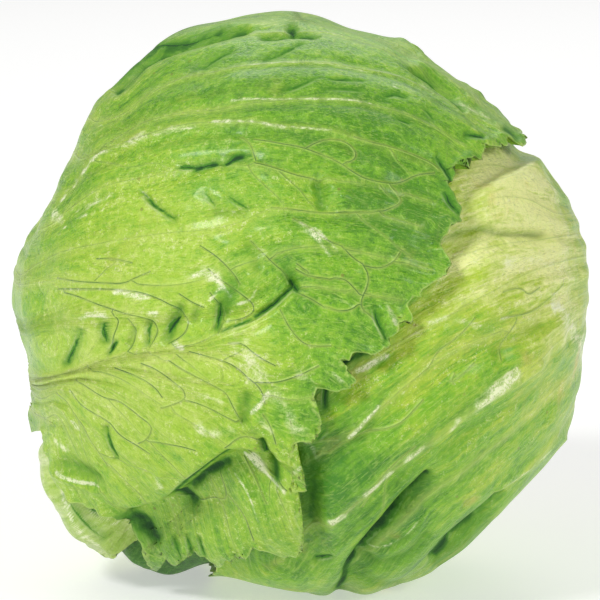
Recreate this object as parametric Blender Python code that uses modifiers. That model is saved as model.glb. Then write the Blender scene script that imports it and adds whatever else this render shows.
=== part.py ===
# Iceberg lettuce, lying on its side with the cut stem behind it.
# Metres, +Z up. The crown faces -Y and the stem's cut faces +Y.
#
# Every leaf is a thin sheet wrapped round one shared head surface, so leaves that lie
# over each other follow the same folds, one leaf's depth apart. A direction from the
# middle of the head is a unit vector, and a leaf's face is a radius for each direction.

import bmesh
import bpy
import numpy as np
from math import acos, asin, atan2, cos, pi, radians, sin, tan

COLLECTION = "iceberg_lettuce"

# The head
HEAD_RADIUS = 0.0790           # the ball that the swells are added to
MIDDLE_HEIGHT = 0.0783         # middle of the head above the table
MIDDLE_X = -0.0002             # sets the head's own box evenly over the origin
MIDDLE_Y = -0.0005

# The leaves
LEAF_THICKNESS = 0.0011
LEAF_STEP = 0.0031             # from one leaf's outer face down to the next one's
FOLD_ROOM = 0.0035             # how much wider a fold is in a leaf that lies under another
TUCK_START = 1.5               # degrees past a leaf's edge where the leaf below starts to rise
TUCK_END = 11.0                # degrees past the edge where it is level again
EDGE_WAVE = 0.0016             # how far a free edge lifts and falls
EDGE_WAVE_BAND = 9.0           # degrees in from the edge that the wave reaches
EDGE_LOBE = 1.5                # degrees that the lobes of an edge behind stand out or in

# The core stem, a cone that narrows towards the middle of the head
STEM_HALF_ANGLE = 11.6         # degrees
STEM_CLEARANCE = 1.1           # degrees from the cone to a leaf's base
STEM_INNER_END = 0.040         # from the middle of the head
STEM_CUT_FACE = 0.0780
STEM_CUT_RADIUS = 0.0148
STEM_STEPS = 32

# The picture that the leaf edges were measured in: a camera a metre off, looking slightly
# down at the crown. A place in it is given in pixels of a frame 600 pixels wide.
PICTURE_TILT = radians(12)
PICTURE_DISTANCE = 1.0
PICTURE_MIDDLE_PX = 300
PIXEL = 0.00028                # 160 mm over the 572 pixels that the head spans

RIGHT = np.array([1.0, 0.0, 0.0])
UP = np.array([0.0, sin(PICTURE_TILT), cos(PICTURE_TILT)])
TOWARD = np.array([0.0, -cos(PICTURE_TILT), sin(PICTURE_TILT)])
STEM_AXIS = np.array([0.0, 1.0, 0.0])

# Swells of the head: turn in the picture (degrees from its right, anticlockwise), lean
# towards the camera (degrees), spread (degrees), height (metres)
SWELLS = [
    (12, 0, 16, 0.0020),
    (55, 0, 22, -0.0045),
    (92, 0, 10, 0.0015),
    (122, 0, 18, 0.0025),
    (153, 0, 13, -0.0065),
    (176, 0, 10, 0.0025),
    (194, 0, 9, -0.0035),
    (225, 0, 14, 0.0112),
    (244, 0, 9, 0.0010),
    (262, 0, 9, -0.0045),
    (286, 0, 22, 0.0055),
    (314, 0, 8, -0.0010),
    (334, 0, 12, 0.0035),
    (350, 0, 9, -0.0015),
    (90, -78, 34, -0.0070),    # the hollow round the stem
    (0, 90, 40, -0.0030),      # the flattened crown
]

# Folds: path in the picture, half width (metres), depth (metres, below zero for a ridge)
FOLDS = {
    "right_crevice": ([(332, 592), (357, 553), (381, 520), (405, 495), (428, 470)], 0.0055, 0.0065),
    "right_ridge": ([(304, 540), (345, 497), (385, 458), (430, 420), (482, 386), (549, 342)],
                    0.0080, -0.0030),
    "right_groove": ([(440, 246), (471, 228), (520, 228), (556, 232)], 0.0050, 0.0025),
    "lower_right_fold": ([(432, 554), (459, 532), (489, 506), (505, 488)], 0.0050, 0.0030),
    "top_groove": ([(115, 92), (140, 66), (175, 49), (219, 37), (258, 34)], 0.0050, 0.0030),
    "top_crease": ([(414, 73), (436, 86), (466, 104)], 0.0045, 0.0025),
    "midrib_crease": ([(222, 322), (250, 314), (291, 284)], 0.0055, 0.0035),
    "middle_dent": ([(316, 178), (322, 205)], 0.0060, 0.0035),
}

# Long pleats that run out from the stem behind, and the broad midrib at each leaf's base
PLEATS = 15
PLEAT_HEIGHT = 0.0011
PLEAT_START = 22               # degrees away from the stem
PLEAT_END = 96
MIDRIB_HEIGHT = 0.0032
MIDRIB_HALF_WIDTH = 0.0085
MIDRIB_END = 84                # degrees away from the stem, where it has sunk into the leaf

# The crease that the left leaf's lower lobe is pushed in under: the lobe drops by
# LOBE_DROP just below this path and comes back to the surface over LOBE_RECOVERY
LOBE_CREASE_PX = [(100, 500), (127, 513), (163, 506), (190, 485), (212, 462), (240, 452),
                  (268, 462), (306, 470)]
LOBE_DROP = 0.0060
LOBE_STEP_WIDTH = 0.0040
LOBE_RECOVERY = 0.0260
FOLD_END_FADE = 0.0120         # a fold grows from nothing over this length at each end

# Leaves, outermost first. edge_px is the edge as the picture shows it, or as it must run under
# the leaf above. middle is the leaf's own middle, midrib its thick rib and edge_behind the
# hidden side's edge, in degrees round the stem (from +X towards +Z) and degrees away from it.
LEAVES = [
    {
        "name": "wrapper_leaf_left",
        "middle": (155, 126),
        "midrib": [(166, 12), (176, 40), (187, 70), (191, 92)],
        "cells": 36,
        "colour": (0.42, 0.66, 0.17),
        "edge_px": [
            (470, 88), (488, 101), (498, 112), (515, 133), (521, 150), (480, 150), (468, 166),
            (450, 182), (446, 197), (461, 221), (440, 246), (445, 283), (420, 291), (411, 320),
            (388, 336), (383, 350), (348, 358), (350, 386), (318, 390), (323, 434), (290, 450),
            (303, 483), (290, 497), (303, 545), (262, 551), (217, 570), (187, 561),
            (136, 537), (118, 524), (96, 514), (70, 494), (52, 466),
        ],
        "edge_behind": [(214, 72), (221, 48), (225, 26), (225, 14), (85, 14), (92, 28), (96, 44),
                        (86, 62), (66, 78)],
    },
    {
        "name": "wrapper_leaf_right",
        "middle": (350, 124),
        "midrib": [(352, 12), (349, 40), (351, 70), (354, 92)],
        "cells": 32,
        "colour": (0.60, 0.74, 0.33),
        "edge_px": [(420, 118), (352, 196), (330, 290), (296, 372), (262, 450), (240, 520)],
        "edge_behind": [(252, 96), (247, 74), (258, 52), (272, 30), (280, 14), (50, 14), (54, 30),
                        (58, 54), (55, 76), (56, 96), (56, 112)],
    },
    {
        "name": "wrapper_leaf_lower_left",
        "middle": (216, 86),
        "midrib": [(222, 12), (226, 40), (228, 70), (228, 92)],
        "cells": 20,
        "colour": (0.66, 0.77, 0.45),
        "edge_px": [(60, 330), (130, 372), (196, 430), (196, 500), (140, 545), (99, 549)],
        "edge_behind": [(233, 92), (246, 72), (258, 48), (268, 26), (272, 14), (152, 14), (160, 26),
                        (172, 44), (178, 68)],
    },
    {
        "name": "bottom_leaf",
        "middle": (258, 96),
        "midrib": [(252, 12), (250, 40), (250, 70), (250, 92)],
        "cells": 20,
        "colour": (0.16, 0.36, 0.08),
        "edge_px": [(90, 440), (190, 430), (300, 440), (392, 500)],
        "edge_behind": [(300, 92), (316, 66), (318, 40), (312, 24), (310, 14), (190, 14), (192, 26),
                        (200, 46), (205, 70), (208, 90)],
    },
    {
        "name": "top_leaf",
        "middle": (98, 92),
        "midrib": [(96, 12), (86, 40), (76, 70), (72, 92)],
        "cells": 20,
        "colour": (0.46, 0.66, 0.22),
        "edge_px": [(500, 190), (420, 160), (300, 150), (190, 165), (100, 200)],
        "edge_behind": [(150, 84), (154, 62), (156, 40), (158, 26), (158, 14), (38, 14), (30, 26),
                        (20, 42), (14, 62), (14, 84)],
    },
]

# The heart
HEART_ROWS = 20
HEART_STEPS = 32
HEART_COLOUR = (0.70, 0.78, 0.48)
HEART_FOLD = 0.0014            # height of the folded leaf edges on the heart
HEART_GAP = 0.0008             # further room under the innermost leaf
STEM_COLOUR = (0.80, 0.72, 0.52)


def unit(vector):
    return vector / np.linalg.norm(vector, axis=-1, keepdims=True)


def smooth_step(low, high, value):
    t = np.clip((value - low) / (high - low), 0.0, 1.0)
    return t * t * (3 - 2 * t)


def in_picture(turn, lean):
    """Direction at a turn round the picture and a lean towards the camera, in degrees."""
    across = cos(radians(turn)) * RIGHT + sin(radians(turn)) * UP
    return cos(radians(lean)) * across + sin(radians(lean)) * TOWARD


def round_stem(turn, away):
    """Direction at a turn round the stem and an angle away from it, in degrees."""
    ring = np.array([cos(radians(turn)), 0.0, sin(radians(turn))])
    return sin(radians(away)) * ring + cos(radians(away)) * STEM_AXIS


def head_radius(direction):
    """Radius of the smooth head, before folds."""
    radius = np.full(direction.shape[:-1], HEAD_RADIUS)
    for turn, lean, spread, height in SWELLS:
        away = np.arccos(np.clip(direction @ in_picture(turn, lean), -1, 1))
        radius += height * np.exp(-0.5 * (away / radians(spread)) ** 2)
    return radius


def seen_at(pixel):
    """Direction of the place on the head that shows at a pixel of the picture."""
    across = (pixel[0] - PICTURE_MIDDLE_PX) * PIXEL
    up = (PICTURE_MIDDLE_PX - pixel[1]) * PIXEL
    near = 0.0
    for _ in range(12):
        scale = (PICTURE_DISTANCE - near) / PICTURE_DISTANCE
        place = across * scale * RIGHT + up * scale * UP + near * TOWARD
        gap = head_radius(unit(place)) ** 2 - (across * scale) ** 2 - (up * scale) ** 2
        near = 0.5 * near + 0.5 * max(gap, 0.0) ** 0.5
    return unit(across * scale * RIGHT + up * scale * UP + near * TOWARD)


def path_distance(points, place):
    """Distance from places to a path, which side of it they are on, and how far the nearest
    point of the path is from the path's ends."""
    nearest = np.full(place.shape[:-1], np.inf)
    side = np.ones(place.shape[:-1])
    travel = np.zeros(place.shape[:-1])
    lengths = np.linalg.norm(points[1:] - points[:-1], axis=1)
    for start, end, length, before in zip(points[:-1], points[1:], lengths,
                                          np.cumsum(lengths) - lengths):
        run = end - start
        along = np.clip((place - start) @ run / length ** 2, 0.0, 1.0)
        distance = np.linalg.norm(place - start - along[..., None] * run, axis=-1)
        closer = distance < nearest
        nearest = np.where(closer, distance, nearest)
        travel = np.where(closer, before + along * length, travel)
        side = np.where(closer, np.sign((place - start) @ np.cross(run, start + end)), side)
    return nearest, side, np.minimum(travel, lengths.sum() - travel)


def on_head(path_px):
    return np.array([seen_at(pixel) * HEAD_RADIUS for pixel in path_px])


FOLD_PATHS = [(on_head(path), width, depth) for path, width, depth in FOLDS.values()]
LOBE_CREASE = on_head(LOBE_CREASE_PX)


def folds(direction, bare):
    """Height of the folds that all the leaves share. Where a leaf isn't bare but lies under
    another, its hollows are wider and its ridges lower, so that it stays clear."""
    place = direction * HEAD_RADIUS
    room = FOLD_ROOM * (1 - bare)
    height = np.zeros(direction.shape[:-1])
    for path, width, depth in FOLD_PATHS:
        distance, _, from_end = path_distance(path, place)
        depth = depth * (0.35 + 0.65 * smooth_step(0.0, FOLD_END_FADE, from_end))
        valley = depth * np.exp(-(np.maximum(distance - room, 0) / width) ** 2)
        ridge = depth * bare * np.exp(-(distance / width) ** 2)
        height -= np.where(depth > 0, valley, ridge)
    distance, side, from_end = path_distance(LOBE_CREASE, place)
    below = distance * side
    dropped = smooth_step(-LOBE_STEP_WIDTH, LOBE_STEP_WIDTH, below + room)
    recovered = smooth_step(0.0, LOBE_RECOVERY, below - room)
    fade = smooth_step(0.0, FOLD_END_FADE, from_end)
    away = np.degrees(np.arccos(np.clip(direction @ STEM_AXIS, -1, 1)))
    turn = np.arctan2(direction[..., 2], direction[..., 0])
    reach = smooth_step(PLEAT_START, PLEAT_START + 20, away) * smooth_step(PLEAT_END, 70, away)
    pleats = PLEAT_HEIGHT * reach * np.sin(PLEATS * turn + np.radians(2 * away))
    return height + pleats - LOBE_DROP * dropped * (1 - recovered) * fade


def surface_radius(direction, bare):
    """Radius of the head's outer surface, pressed flat where it rests on the table."""
    radius = head_radius(direction) + folds(direction, bare)
    down = np.maximum(-direction[..., 2], 1e-6)
    return np.minimum(radius, MIDDLE_HEIGHT / down)


class Leaf:
    """A leaf's own map: bearing round its middle, and reach from its middle to its edge."""

    def __init__(self, design):
        self.design = design
        self.middle = round_stem(*design["middle"])
        self.ahead = unit(self.middle * (self.middle @ STEM_AXIS) - STEM_AXIS)
        self.across = np.cross(self.middle, self.ahead)
        corners = [seen_at(pixel) for pixel in design["edge_px"]]
        corners += [round_stem(turn, away) for turn, away in design["edge_behind"]]
        bearing, reach = self.bearing_and_reach(np.array(corners))
        order = np.argsort(bearing)
        self.corner_bearing = bearing[order]
        self.corner_reach = reach[order]
        self.stem_reach = acos(self.middle @ STEM_AXIS)
        ring = np.linspace(-pi, pi, 721)
        wide = self.edge_reach(ring)[:-1]
        for _ in range(10):
            wide = np.maximum(wide, np.maximum(np.roll(wide, 1), np.roll(wide, -1)) - radians(0.4))
        for _ in range(60):
            wide = 0.5 * wide + 0.25 * (np.roll(wide, 1) + np.roll(wide, -1))
        self.wide_ring = ring[:-1]
        self.wide_reach = wide

    def bearing_and_reach(self, direction):
        reach = np.arccos(np.clip(direction @ self.middle, -1, 1))
        return np.arctan2(direction @ self.across, direction @ self.ahead), reach

    def direction(self, bearing, reach):
        flat = np.cos(bearing)[..., None] * self.ahead + np.sin(bearing)[..., None] * self.across
        return np.cos(reach)[..., None] * self.middle + np.sin(reach)[..., None] * flat

    def edge_reach(self, bearing):
        """The edge's reach: straight from corner to corner, with lobes on the hidden side."""
        reach = np.interp(bearing, self.corner_bearing, self.corner_reach, period=2 * pi)
        behind = self.direction(bearing, reach) @ STEM_AXIS
        lobed = smooth_step(cos(radians(105)), cos(radians(85)), behind)
        lobed = lobed * smooth_step(cos(radians(20)), cos(radians(34)), behind)
        lobes = 0.6 * np.sin(17 * bearing) + 0.4 * np.sin(31 * bearing + 2)
        return reach + radians(EDGE_LOBE) * lobes * lobed

    def edge_reach_at_stem(self, bearing):
        """The edge's reach, held back where the leaf's base stands round the stem."""
        hole = radians(STEM_HALF_ANGLE + STEM_CLEARANCE)
        off = np.abs(np.abs(bearing) - pi)
        widest = asin(sin(hole) / sin(self.stem_reach))
        inside = np.minimum(off, widest)
        near_side = np.arctan2(cos(self.stem_reach), sin(self.stem_reach) * np.cos(inside))
        span = np.hypot(cos(self.stem_reach), sin(self.stem_reach) * np.cos(inside))
        base = pi / 2 - near_side - np.arccos(np.clip(cos(hole) / span, -1, 1))
        base += 3.0 * np.maximum(off - widest, 0.0)
        return np.minimum(self.edge_reach(bearing), base)

    def cover(self, direction):
        """One under this leaf, falling to zero a little past its edge."""
        bearing, reach = self.bearing_and_reach(direction)
        wide = np.interp(bearing, self.wide_ring, self.wide_reach, period=2 * pi)
        past = np.degrees(reach - wide)
        return 1 - smooth_step(TUCK_START, TUCK_END, past)


    def midrib(self, direction):
        """Height of the midrib, one along its top at the stem and none past its end."""
        path = np.array([round_stem(turn, away) for turn, away in self.design["midrib"]])
        distance, _, _ = path_distance(path * HEAD_RADIUS, direction * HEAD_RADIUS)
        away = np.degrees(np.arccos(np.clip(direction @ STEM_AXIS, -1, 1)))
        run_out = smooth_step(MIDRIB_END, 20.0, away)
        return run_out * np.exp(-(distance / MIDRIB_HALF_WIDTH) ** 2)


def edge_wave(bearing):
    """Wave of a free edge, in parts of its full height: it lifts, and never dips."""
    return 0.5 + 0.3 * np.sin(9 * bearing) + 0.2 * np.sin(23 * bearing + 1.0)


def make_material(name, colour, roughness):
    material = bpy.data.materials.new(name)
    material.use_nodes = True
    shader = material.node_tree.nodes["Principled BSDF"]
    shader.inputs["Base Color"].default_value = (*colour, 1.0)
    shader.inputs["Roughness"].default_value = roughness
    shader.inputs["Metallic"].default_value = 0.0
    material.diffuse_color = (*colour, 1.0)
    return material


def add_object(name, mesh, colour, roughness, parent):
    thing = bpy.data.objects.new(name, mesh)
    mesh.materials.append(make_material(name, colour, roughness))
    bpy.data.collections[COLLECTION].objects.link(thing)
    thing.parent = parent
    return thing


def make_leaf(leaf, leaves_above, parent):
    """A square grid bent to the leaf's outline and laid on the head, then given thickness."""
    cells = leaf.design["cells"]
    bm = bmesh.new()
    bmesh.ops.create_grid(bm, x_segments=cells, y_segments=cells, size=1.0)
    grid = np.array([vertex.co[:2] for vertex in bm.verts])
    ring = np.abs(grid).max(axis=1)
    wide = np.abs(grid[:, 0]) >= np.abs(grid[:, 1])
    slope_x = grid[:, 1] / np.where(grid[:, 0] == 0, 1, grid[:, 0])
    slope_y = grid[:, 0] / np.where(grid[:, 1] == 0, 1, grid[:, 1])
    bearing_x = pi / 4 * slope_x + np.where(grid[:, 0] < 0, pi, 0)
    bearing_y = pi / 2 - pi / 4 * slope_y + np.where(grid[:, 1] < 0, pi, 0)
    bearing = (np.where(wide, bearing_x, bearing_y) + pi) % (2 * pi) - pi
    direction = leaf.direction(bearing, ring * leaf.edge_reach_at_stem(bearing))

    covers = [above.cover(direction) for above in leaves_above]
    depth = LEAF_STEP * sum(covers) if covers else np.zeros(len(grid))
    bare = np.prod([1 - cover for cover in covers], axis=0) if covers else np.ones(len(grid))
    inward = (1 - ring) * np.degrees(leaf.edge_reach(bearing))
    at_edge = smooth_step(EDGE_WAVE_BAND, 0.0, inward)
    above_table = smooth_step(-0.80, -0.60, direction[:, 2])
    off_stem = smooth_step(cos(radians(20)), cos(radians(45)), direction @ STEM_AXIS)
    lift = EDGE_WAVE * edge_wave(bearing) * at_edge * bare * above_table * off_stem
    midrib = MIDRIB_HEIGHT * leaf.midrib(direction) * bare

    radius = surface_radius(direction, bare) - depth + lift + midrib
    place = direction * radius[:, None]
    for vertex, point in zip(bm.verts, place):
        vertex.co = point
    bmesh.ops.triangulate(bm, faces=bm.faces, quad_method="SHORT_EDGE")
    bmesh.ops.recalc_face_normals(bm, faces=bm.faces)
    face = bm.faces[0]
    if face.normal.dot(face.calc_center_median()) < 0:
        bmesh.ops.reverse_faces(bm, faces=bm.faces)
    mesh = bpy.data.meshes.new(leaf.design["name"])
    bm.to_mesh(mesh)
    bm.free()
    thing = add_object(leaf.design["name"], mesh, leaf.design["colour"], 0.38, parent)
    shell = thing.modifiers.new("thickness", "SOLIDIFY")
    shell.thickness = LEAF_THICKNESS
    shell.offset = -1.0
    return thing


def make_heart(leaves, parent):
    """The folded inner leaves: a ball under the leaves, with a socket for the stem."""
    bm = bmesh.new()
    bmesh.ops.create_uvsphere(bm, u_segments=HEART_STEPS, v_segments=HEART_ROWS, radius=1.0)
    socket = radians(STEM_HALF_ANGLE + 0.4)
    rim = radians(STEM_HALF_ANGLE + 2.4)
    for vertex in bm.verts:
        row = round(acos(max(-1.0, min(1.0, vertex.co.z))) / pi * HEART_ROWS)
        turn = atan2(vertex.co.y, vertex.co.x)
        spread = rim + (pi - rim) * max(row - 2, 0) / (HEART_ROWS - 2)
        away = (0.0, socket, rim)[row] if row < 2 else spread
        ring = np.array([cos(turn), 0.0, sin(turn)])
        direction = sin(away) * ring + cos(away) * STEM_AXIS
        if row < 2:
            vertex.co = direction * (STEM_INNER_END - 0.0006) / cos(away)
            continue
        under = sum(leaf.cover(direction) for leaf in leaves)
        fold = HEART_FOLD * ((3 * turn + 4.2 * away) / (2 * pi) % 1.0)
        room = LEAF_STEP * under + HEART_GAP + HEART_FOLD
        vertex.co = direction * (surface_radius(direction, 0.0) - room + fold)
    bmesh.ops.triangulate(bm, faces=[face for face in bm.faces if len(face.verts) > 3])
    bmesh.ops.recalc_face_normals(bm, faces=bm.faces)
    mesh = bpy.data.meshes.new("heart")
    bm.to_mesh(mesh)
    bm.free()
    return add_object("heart", mesh, HEART_COLOUR, 0.4, parent)


def make_stem(parent):
    """The core stem, turned: a cone in the heart and a short stump with a rounded cut edge."""
    slope = tan(radians(STEM_HALF_ANGLE))
    start = STEM_CUT_RADIUS / slope
    profile = [
        (0.0, STEM_CUT_FACE),
        (STEM_CUT_RADIUS * 0.80, STEM_CUT_FACE),
        (STEM_CUT_RADIUS * 0.94, STEM_CUT_FACE - 0.0008),
        (STEM_CUT_RADIUS, STEM_CUT_FACE - 0.0028),
        (STEM_CUT_RADIUS, start),
        (STEM_INNER_END * slope, STEM_INNER_END),
        (0.0, STEM_INNER_END),
    ]
    mesh = bpy.data.meshes.new("core_stem")
    mesh.from_pydata([(x, 0.0, z) for x, z in profile],
                     [(k, k + 1) for k in range(len(profile) - 1)], [])
    stem = add_object("core_stem", mesh, STEM_COLOUR, 0.6, parent)
    stem.rotation_euler = (radians(-90), 0.0, 0.0)
    turned = stem.modifiers.new("turned", "SCREW")
    turned.steps = STEM_STEPS
    turned.render_steps = STEM_STEPS
    turned.use_merge_vertices = True
    turned.merge_threshold = 0.00001
    return stem


def main():
    for thing in list(bpy.data.objects):
        bpy.data.objects.remove(thing)
    collection = bpy.data.collections.new(COLLECTION)
    bpy.context.scene.collection.children.link(collection)

    head = bpy.data.objects.new("head", None)
    head.location = (MIDDLE_X, MIDDLE_Y, MIDDLE_HEIGHT)
    collection.objects.link(head)

    leaves = [Leaf(design) for design in LEAVES]
    for rank, leaf in enumerate(leaves):
        make_leaf(leaf, leaves[:rank], head)
    make_heart(leaves, head)
    make_stem(head)


main()
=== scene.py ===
import bpy
import numpy as np
import random
from math import acos, asin, atan2, cos, degrees, floor, pi, radians, sin, tan
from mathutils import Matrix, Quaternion, Vector, kdtree


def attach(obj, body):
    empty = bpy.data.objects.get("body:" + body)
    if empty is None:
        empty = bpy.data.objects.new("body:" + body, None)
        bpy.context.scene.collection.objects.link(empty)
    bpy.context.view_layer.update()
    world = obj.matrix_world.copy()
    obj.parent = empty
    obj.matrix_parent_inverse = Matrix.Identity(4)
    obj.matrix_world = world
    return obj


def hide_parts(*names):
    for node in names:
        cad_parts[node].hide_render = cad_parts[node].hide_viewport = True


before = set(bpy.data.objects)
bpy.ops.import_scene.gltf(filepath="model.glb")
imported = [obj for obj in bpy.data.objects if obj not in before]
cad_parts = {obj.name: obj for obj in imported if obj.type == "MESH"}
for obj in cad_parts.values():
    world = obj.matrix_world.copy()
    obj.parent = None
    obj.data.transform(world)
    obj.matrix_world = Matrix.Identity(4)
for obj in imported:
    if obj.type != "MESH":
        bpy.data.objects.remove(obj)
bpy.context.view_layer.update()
print("frame loaded")

# Metres, +Z up. The crown faces -Y and the cut stem +Y. A direction from the middle of the head
# is a unit vector, and every leaf is a radius for each direction on one shared head surface.

# The view that places are read in: pixels of a picture 600 wide, from a camera a metre off
view = {
    "tilt": 12,           # degrees that it looks down
    "distance": 1.0,
    "middlePx": 300,
    "pixel": 0.00028,     # metres at the middle of the head
}
rightWay = np.array([1.0, 0.0, 0.0])
upWay = np.array([0.0, sin(radians(view["tilt"])), cos(radians(view["tilt"]))])
nearWay = np.array([0.0, -cos(radians(view["tilt"])), sin(radians(view["tilt"]))])
stemWay = np.array([0.0, 1.0, 0.0])

head = {
    "radius": 0.0790,
    "middle": (-0.0002, -0.0005, 0.0783),
    "step": 0.0031,            # from one leaf's face down to the next one's
    "room": 0.0035,            # how much wider a fold is in a leaf that lies under another
    "tuck": (1.0, 10.0),       # degrees past an edge where the leaf below starts and ends its rise
    "pleats": (15, 0.0011, 22, 96),     # how many, height, and where they start and end, degrees
    # turn round the picture, lean towards the camera, spread (degrees), height (metres)
    "swells": [
        (12, 0, 16, 0.0020), (55, 0, 22, -0.0045), (92, 0, 10, 0.0015), (122, 0, 18, 0.0025),
        (153, 0, 13, -0.0065), (176, 0, 10, 0.0025), (194, 0, 9, -0.0035), (225, 0, 14, 0.0112),
        (244, 0, 9, 0.0010), (262, 0, 9, -0.0045), (286, 0, 22, 0.0055), (314, 0, 8, -0.0010),
        (334, 0, 12, 0.0035), (350, 0, 9, -0.0015),
        (90, -78, 34, -0.0070),         # the hollow round the stem
        (0, 90, 40, -0.0030),           # the flattened crown
    ],
    # path in the picture, half width and depth (metres, below zero for a ridge)
    "folds": [
        ([(336, 594), (362, 556), (386, 526), (408, 500), (430, 474)], 0.0034, 0.0034),
        ([(304, 540), (345, 497), (385, 458), (430, 420), (482, 386), (549, 342)],
         0.0080, -0.0030),
        ([(440, 246), (471, 228), (520, 228), (556, 232)], 0.0050, 0.0025),
        ([(432, 554), (459, 532), (489, 506), (505, 488)], 0.0040, 0.0018),
        ([(115, 92), (140, 66), (175, 49), (219, 37), (258, 34)], 0.0046, 0.0014),
        ([(414, 73), (436, 86), (466, 104)], 0.0045, 0.0025),
        ([(222, 322), (250, 314), (291, 284)], 0.0048, 0.0035),
        ([(316, 178), (322, 205)], 0.0060, 0.0035),
    ],
    # the crease that the left leaf's lower lobe is pushed in under
    "crease": [(100, 500), (127, 513), (163, 506), (190, 485), (212, 462), (240, 452), (268, 462),
               (306, 470)],
    "creaseDrop": 0.0064,
    "creaseWidth": 0.0026,
    "creaseRecovery": 0.0250,
    "foldFade": 0.0120,        # a fold grows from nothing over this length at each end
    "midribHeight": 0.0032,
    "midribHalfWidth": 0.0085,
    "midribRun": (84.0, 20.0),         # degrees off the stem where it starts and is full
    "offTable": 0.00015,
    "thickness": 0.0010,       # of a leaf, and at its rim
    "rimThickness": 0.00035,
}


def unit(vector):
    return vector / np.linalg.norm(vector, axis=-1, keepdims=True)


def smoothStep(low, high, value):
    t = np.clip((value - low) / (high - low), 0.0, 1.0)
    return t * t * (3 - 2 * t)


def inPicture(turn, lean):
    across = cos(radians(turn)) * rightWay + sin(radians(turn)) * upWay
    return cos(radians(lean)) * across + sin(radians(lean)) * nearWay


def roundStem(turn, away):
    ring = np.array([cos(radians(turn)), 0.0, sin(radians(turn))])
    return sin(radians(away)) * ring + cos(radians(away)) * stemWay


def awayFromStem(direction):
    return np.degrees(np.arccos(np.clip(direction @ stemWay, -1, 1)))


swellWays = np.array([inPicture(turn, lean) for turn, lean, _, _ in head["swells"]])


def headRadius(direction):
    radius = np.full(direction.shape[:-1], head["radius"])
    for way, (_, _, spread, height) in zip(swellWays, head["swells"]):
        away = np.arccos(np.clip(direction @ way, -1, 1))
        radius += height * np.exp(-0.5 * (away / radians(spread)) ** 2)
    return radius


def seenAt(pixels):
    # the directions of the places on the head that show at pixels
    pixels = np.array(pixels, float)
    across = (pixels[:, 0] - view["middlePx"]) * view["pixel"]
    up = (view["middlePx"] - pixels[:, 1]) * view["pixel"]
    near = np.zeros(len(pixels))
    for _ in range(14):
        scale = (view["distance"] - near) / view["distance"]
        place = ((across * scale)[:, None] * rightWay + (up * scale)[:, None] * upWay
                 + near[:, None] * nearWay)
        gap = headRadius(unit(place)) ** 2 - (across * scale) ** 2 - (up * scale) ** 2
        near = 0.5 * near + 0.5 * np.sqrt(np.maximum(gap, 0.0))
    return unit(place)


def pictureOf(place):
    # the pixels that places show at, and how far they are on the camera's side
    near = place @ nearWay
    scale = view["distance"] / (view["distance"] - near) / view["pixel"]
    x = view["middlePx"] + (place @ rightWay) * scale
    y = view["middlePx"] - (place @ upWay) * scale
    return np.stack([x, y], axis=-1), near


def readAt(spots, places, vectors):
    # vectors that are given at places, read at the spots between them
    return np.stack([np.interp(spots, places, vectors[:, k]) for k in range(3)], axis=1)


def evenPath(points, spacing, fewest):
    # the same path in even steps, and not in fewer than a given number
    travel = np.concatenate([[0], np.cumsum(np.linalg.norm(np.diff(points, axis=0), axis=1))])
    even = np.linspace(0, travel[-1], max(int(travel[-1] / spacing), fewest) + 1)
    return readAt(even, travel, points)


def smoothed(points, spacing=0.0015):
    # a path on the ball with its corners rounded and even steps
    points = np.array(points)
    for _ in range(3):
        cut = [points[0]]
        for start, end in zip(points[:-1], points[1:]):
            cut += [0.75 * start + 0.25 * end, 0.25 * start + 0.75 * end]
        points = np.array(cut + [points[-1]])
    points = evenPath(unit(points) * head["radius"], spacing, 2)
    return unit(points) * head["radius"]


def besidePath(path, direction):
    # distance to an even path on the ball, how far to its side, how far along, and its length
    place = direction * head["radius"]
    spacing = np.linalg.norm(path[1] - path[0])
    ways = unit(np.gradient(path, axis=0))
    index = np.argmax(place @ path.T, axis=-1)
    gap = place - path[index]
    way = ways[index]
    along = np.einsum("...i,...i->...", gap, way)
    beside = np.einsum("...i,...i->...", gap, np.cross(way, direction))
    travel = index * spacing + along
    length = spacing * (len(path) - 1)
    past = np.maximum(-travel, 0) + np.maximum(travel - length, 0)
    return np.hypot(beside, past), np.sign(beside), np.clip(travel, 0, length), length


def onHead(pathPx, spacing=0.0012):
    return smoothed(seenAt(pathPx), spacing)


foldPaths = [(onHead(path), width, depth) for path, width, depth in head["folds"]]
creasePath = onHead(head["crease"])


def folds(direction, bare):
    # the folds that all the leaves share, wider and lower in a leaf that lies under another
    room = head["room"] * (1 - bare)
    height = np.zeros(direction.shape[:-1])
    for path, width, depth in foldPaths:
        distance, _, travel, length = besidePath(path, direction)
        fromEnd = np.minimum(travel, length - travel)
        depth = depth * (0.35 + 0.65 * smoothStep(0.0, head["foldFade"], fromEnd))
        valley = depth * np.exp(-(np.maximum(distance - room, 0) / width) ** 2)
        ridge = depth * bare * np.exp(-(distance / width) ** 2)
        height -= np.where(depth > 0, valley, ridge)
    distance, side, travel, length = besidePath(creasePath, direction)
    fromEnd = np.minimum(travel, length - travel)
    below = distance * side
    dropped = smoothStep(-head["creaseWidth"], head["creaseWidth"], below + room)
    recovered = smoothStep(0.0, head["creaseRecovery"], below - room)
    fade = smoothStep(0.0, head["foldFade"], fromEnd)
    away = awayFromStem(direction)
    turn = np.arctan2(direction[..., 2], direction[..., 0])
    pleats, pleatHeight, pleatStart, pleatEnd = head["pleats"]
    reach = smoothStep(pleatStart, pleatStart + 20, away) * smoothStep(pleatEnd, 70, away)
    height += pleatHeight * reach * np.sin(pleats * turn + np.radians(2 * away))
    return height - head["creaseDrop"] * dropped * (1 - recovered) * fade


def pressFlat(direction, radius, under=0.0):
    # nothing hangs below the table
    down = np.maximum(-direction[..., 2], 1e-6)
    return np.minimum(radius, (head["middle"][2] - under) / down)


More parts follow.
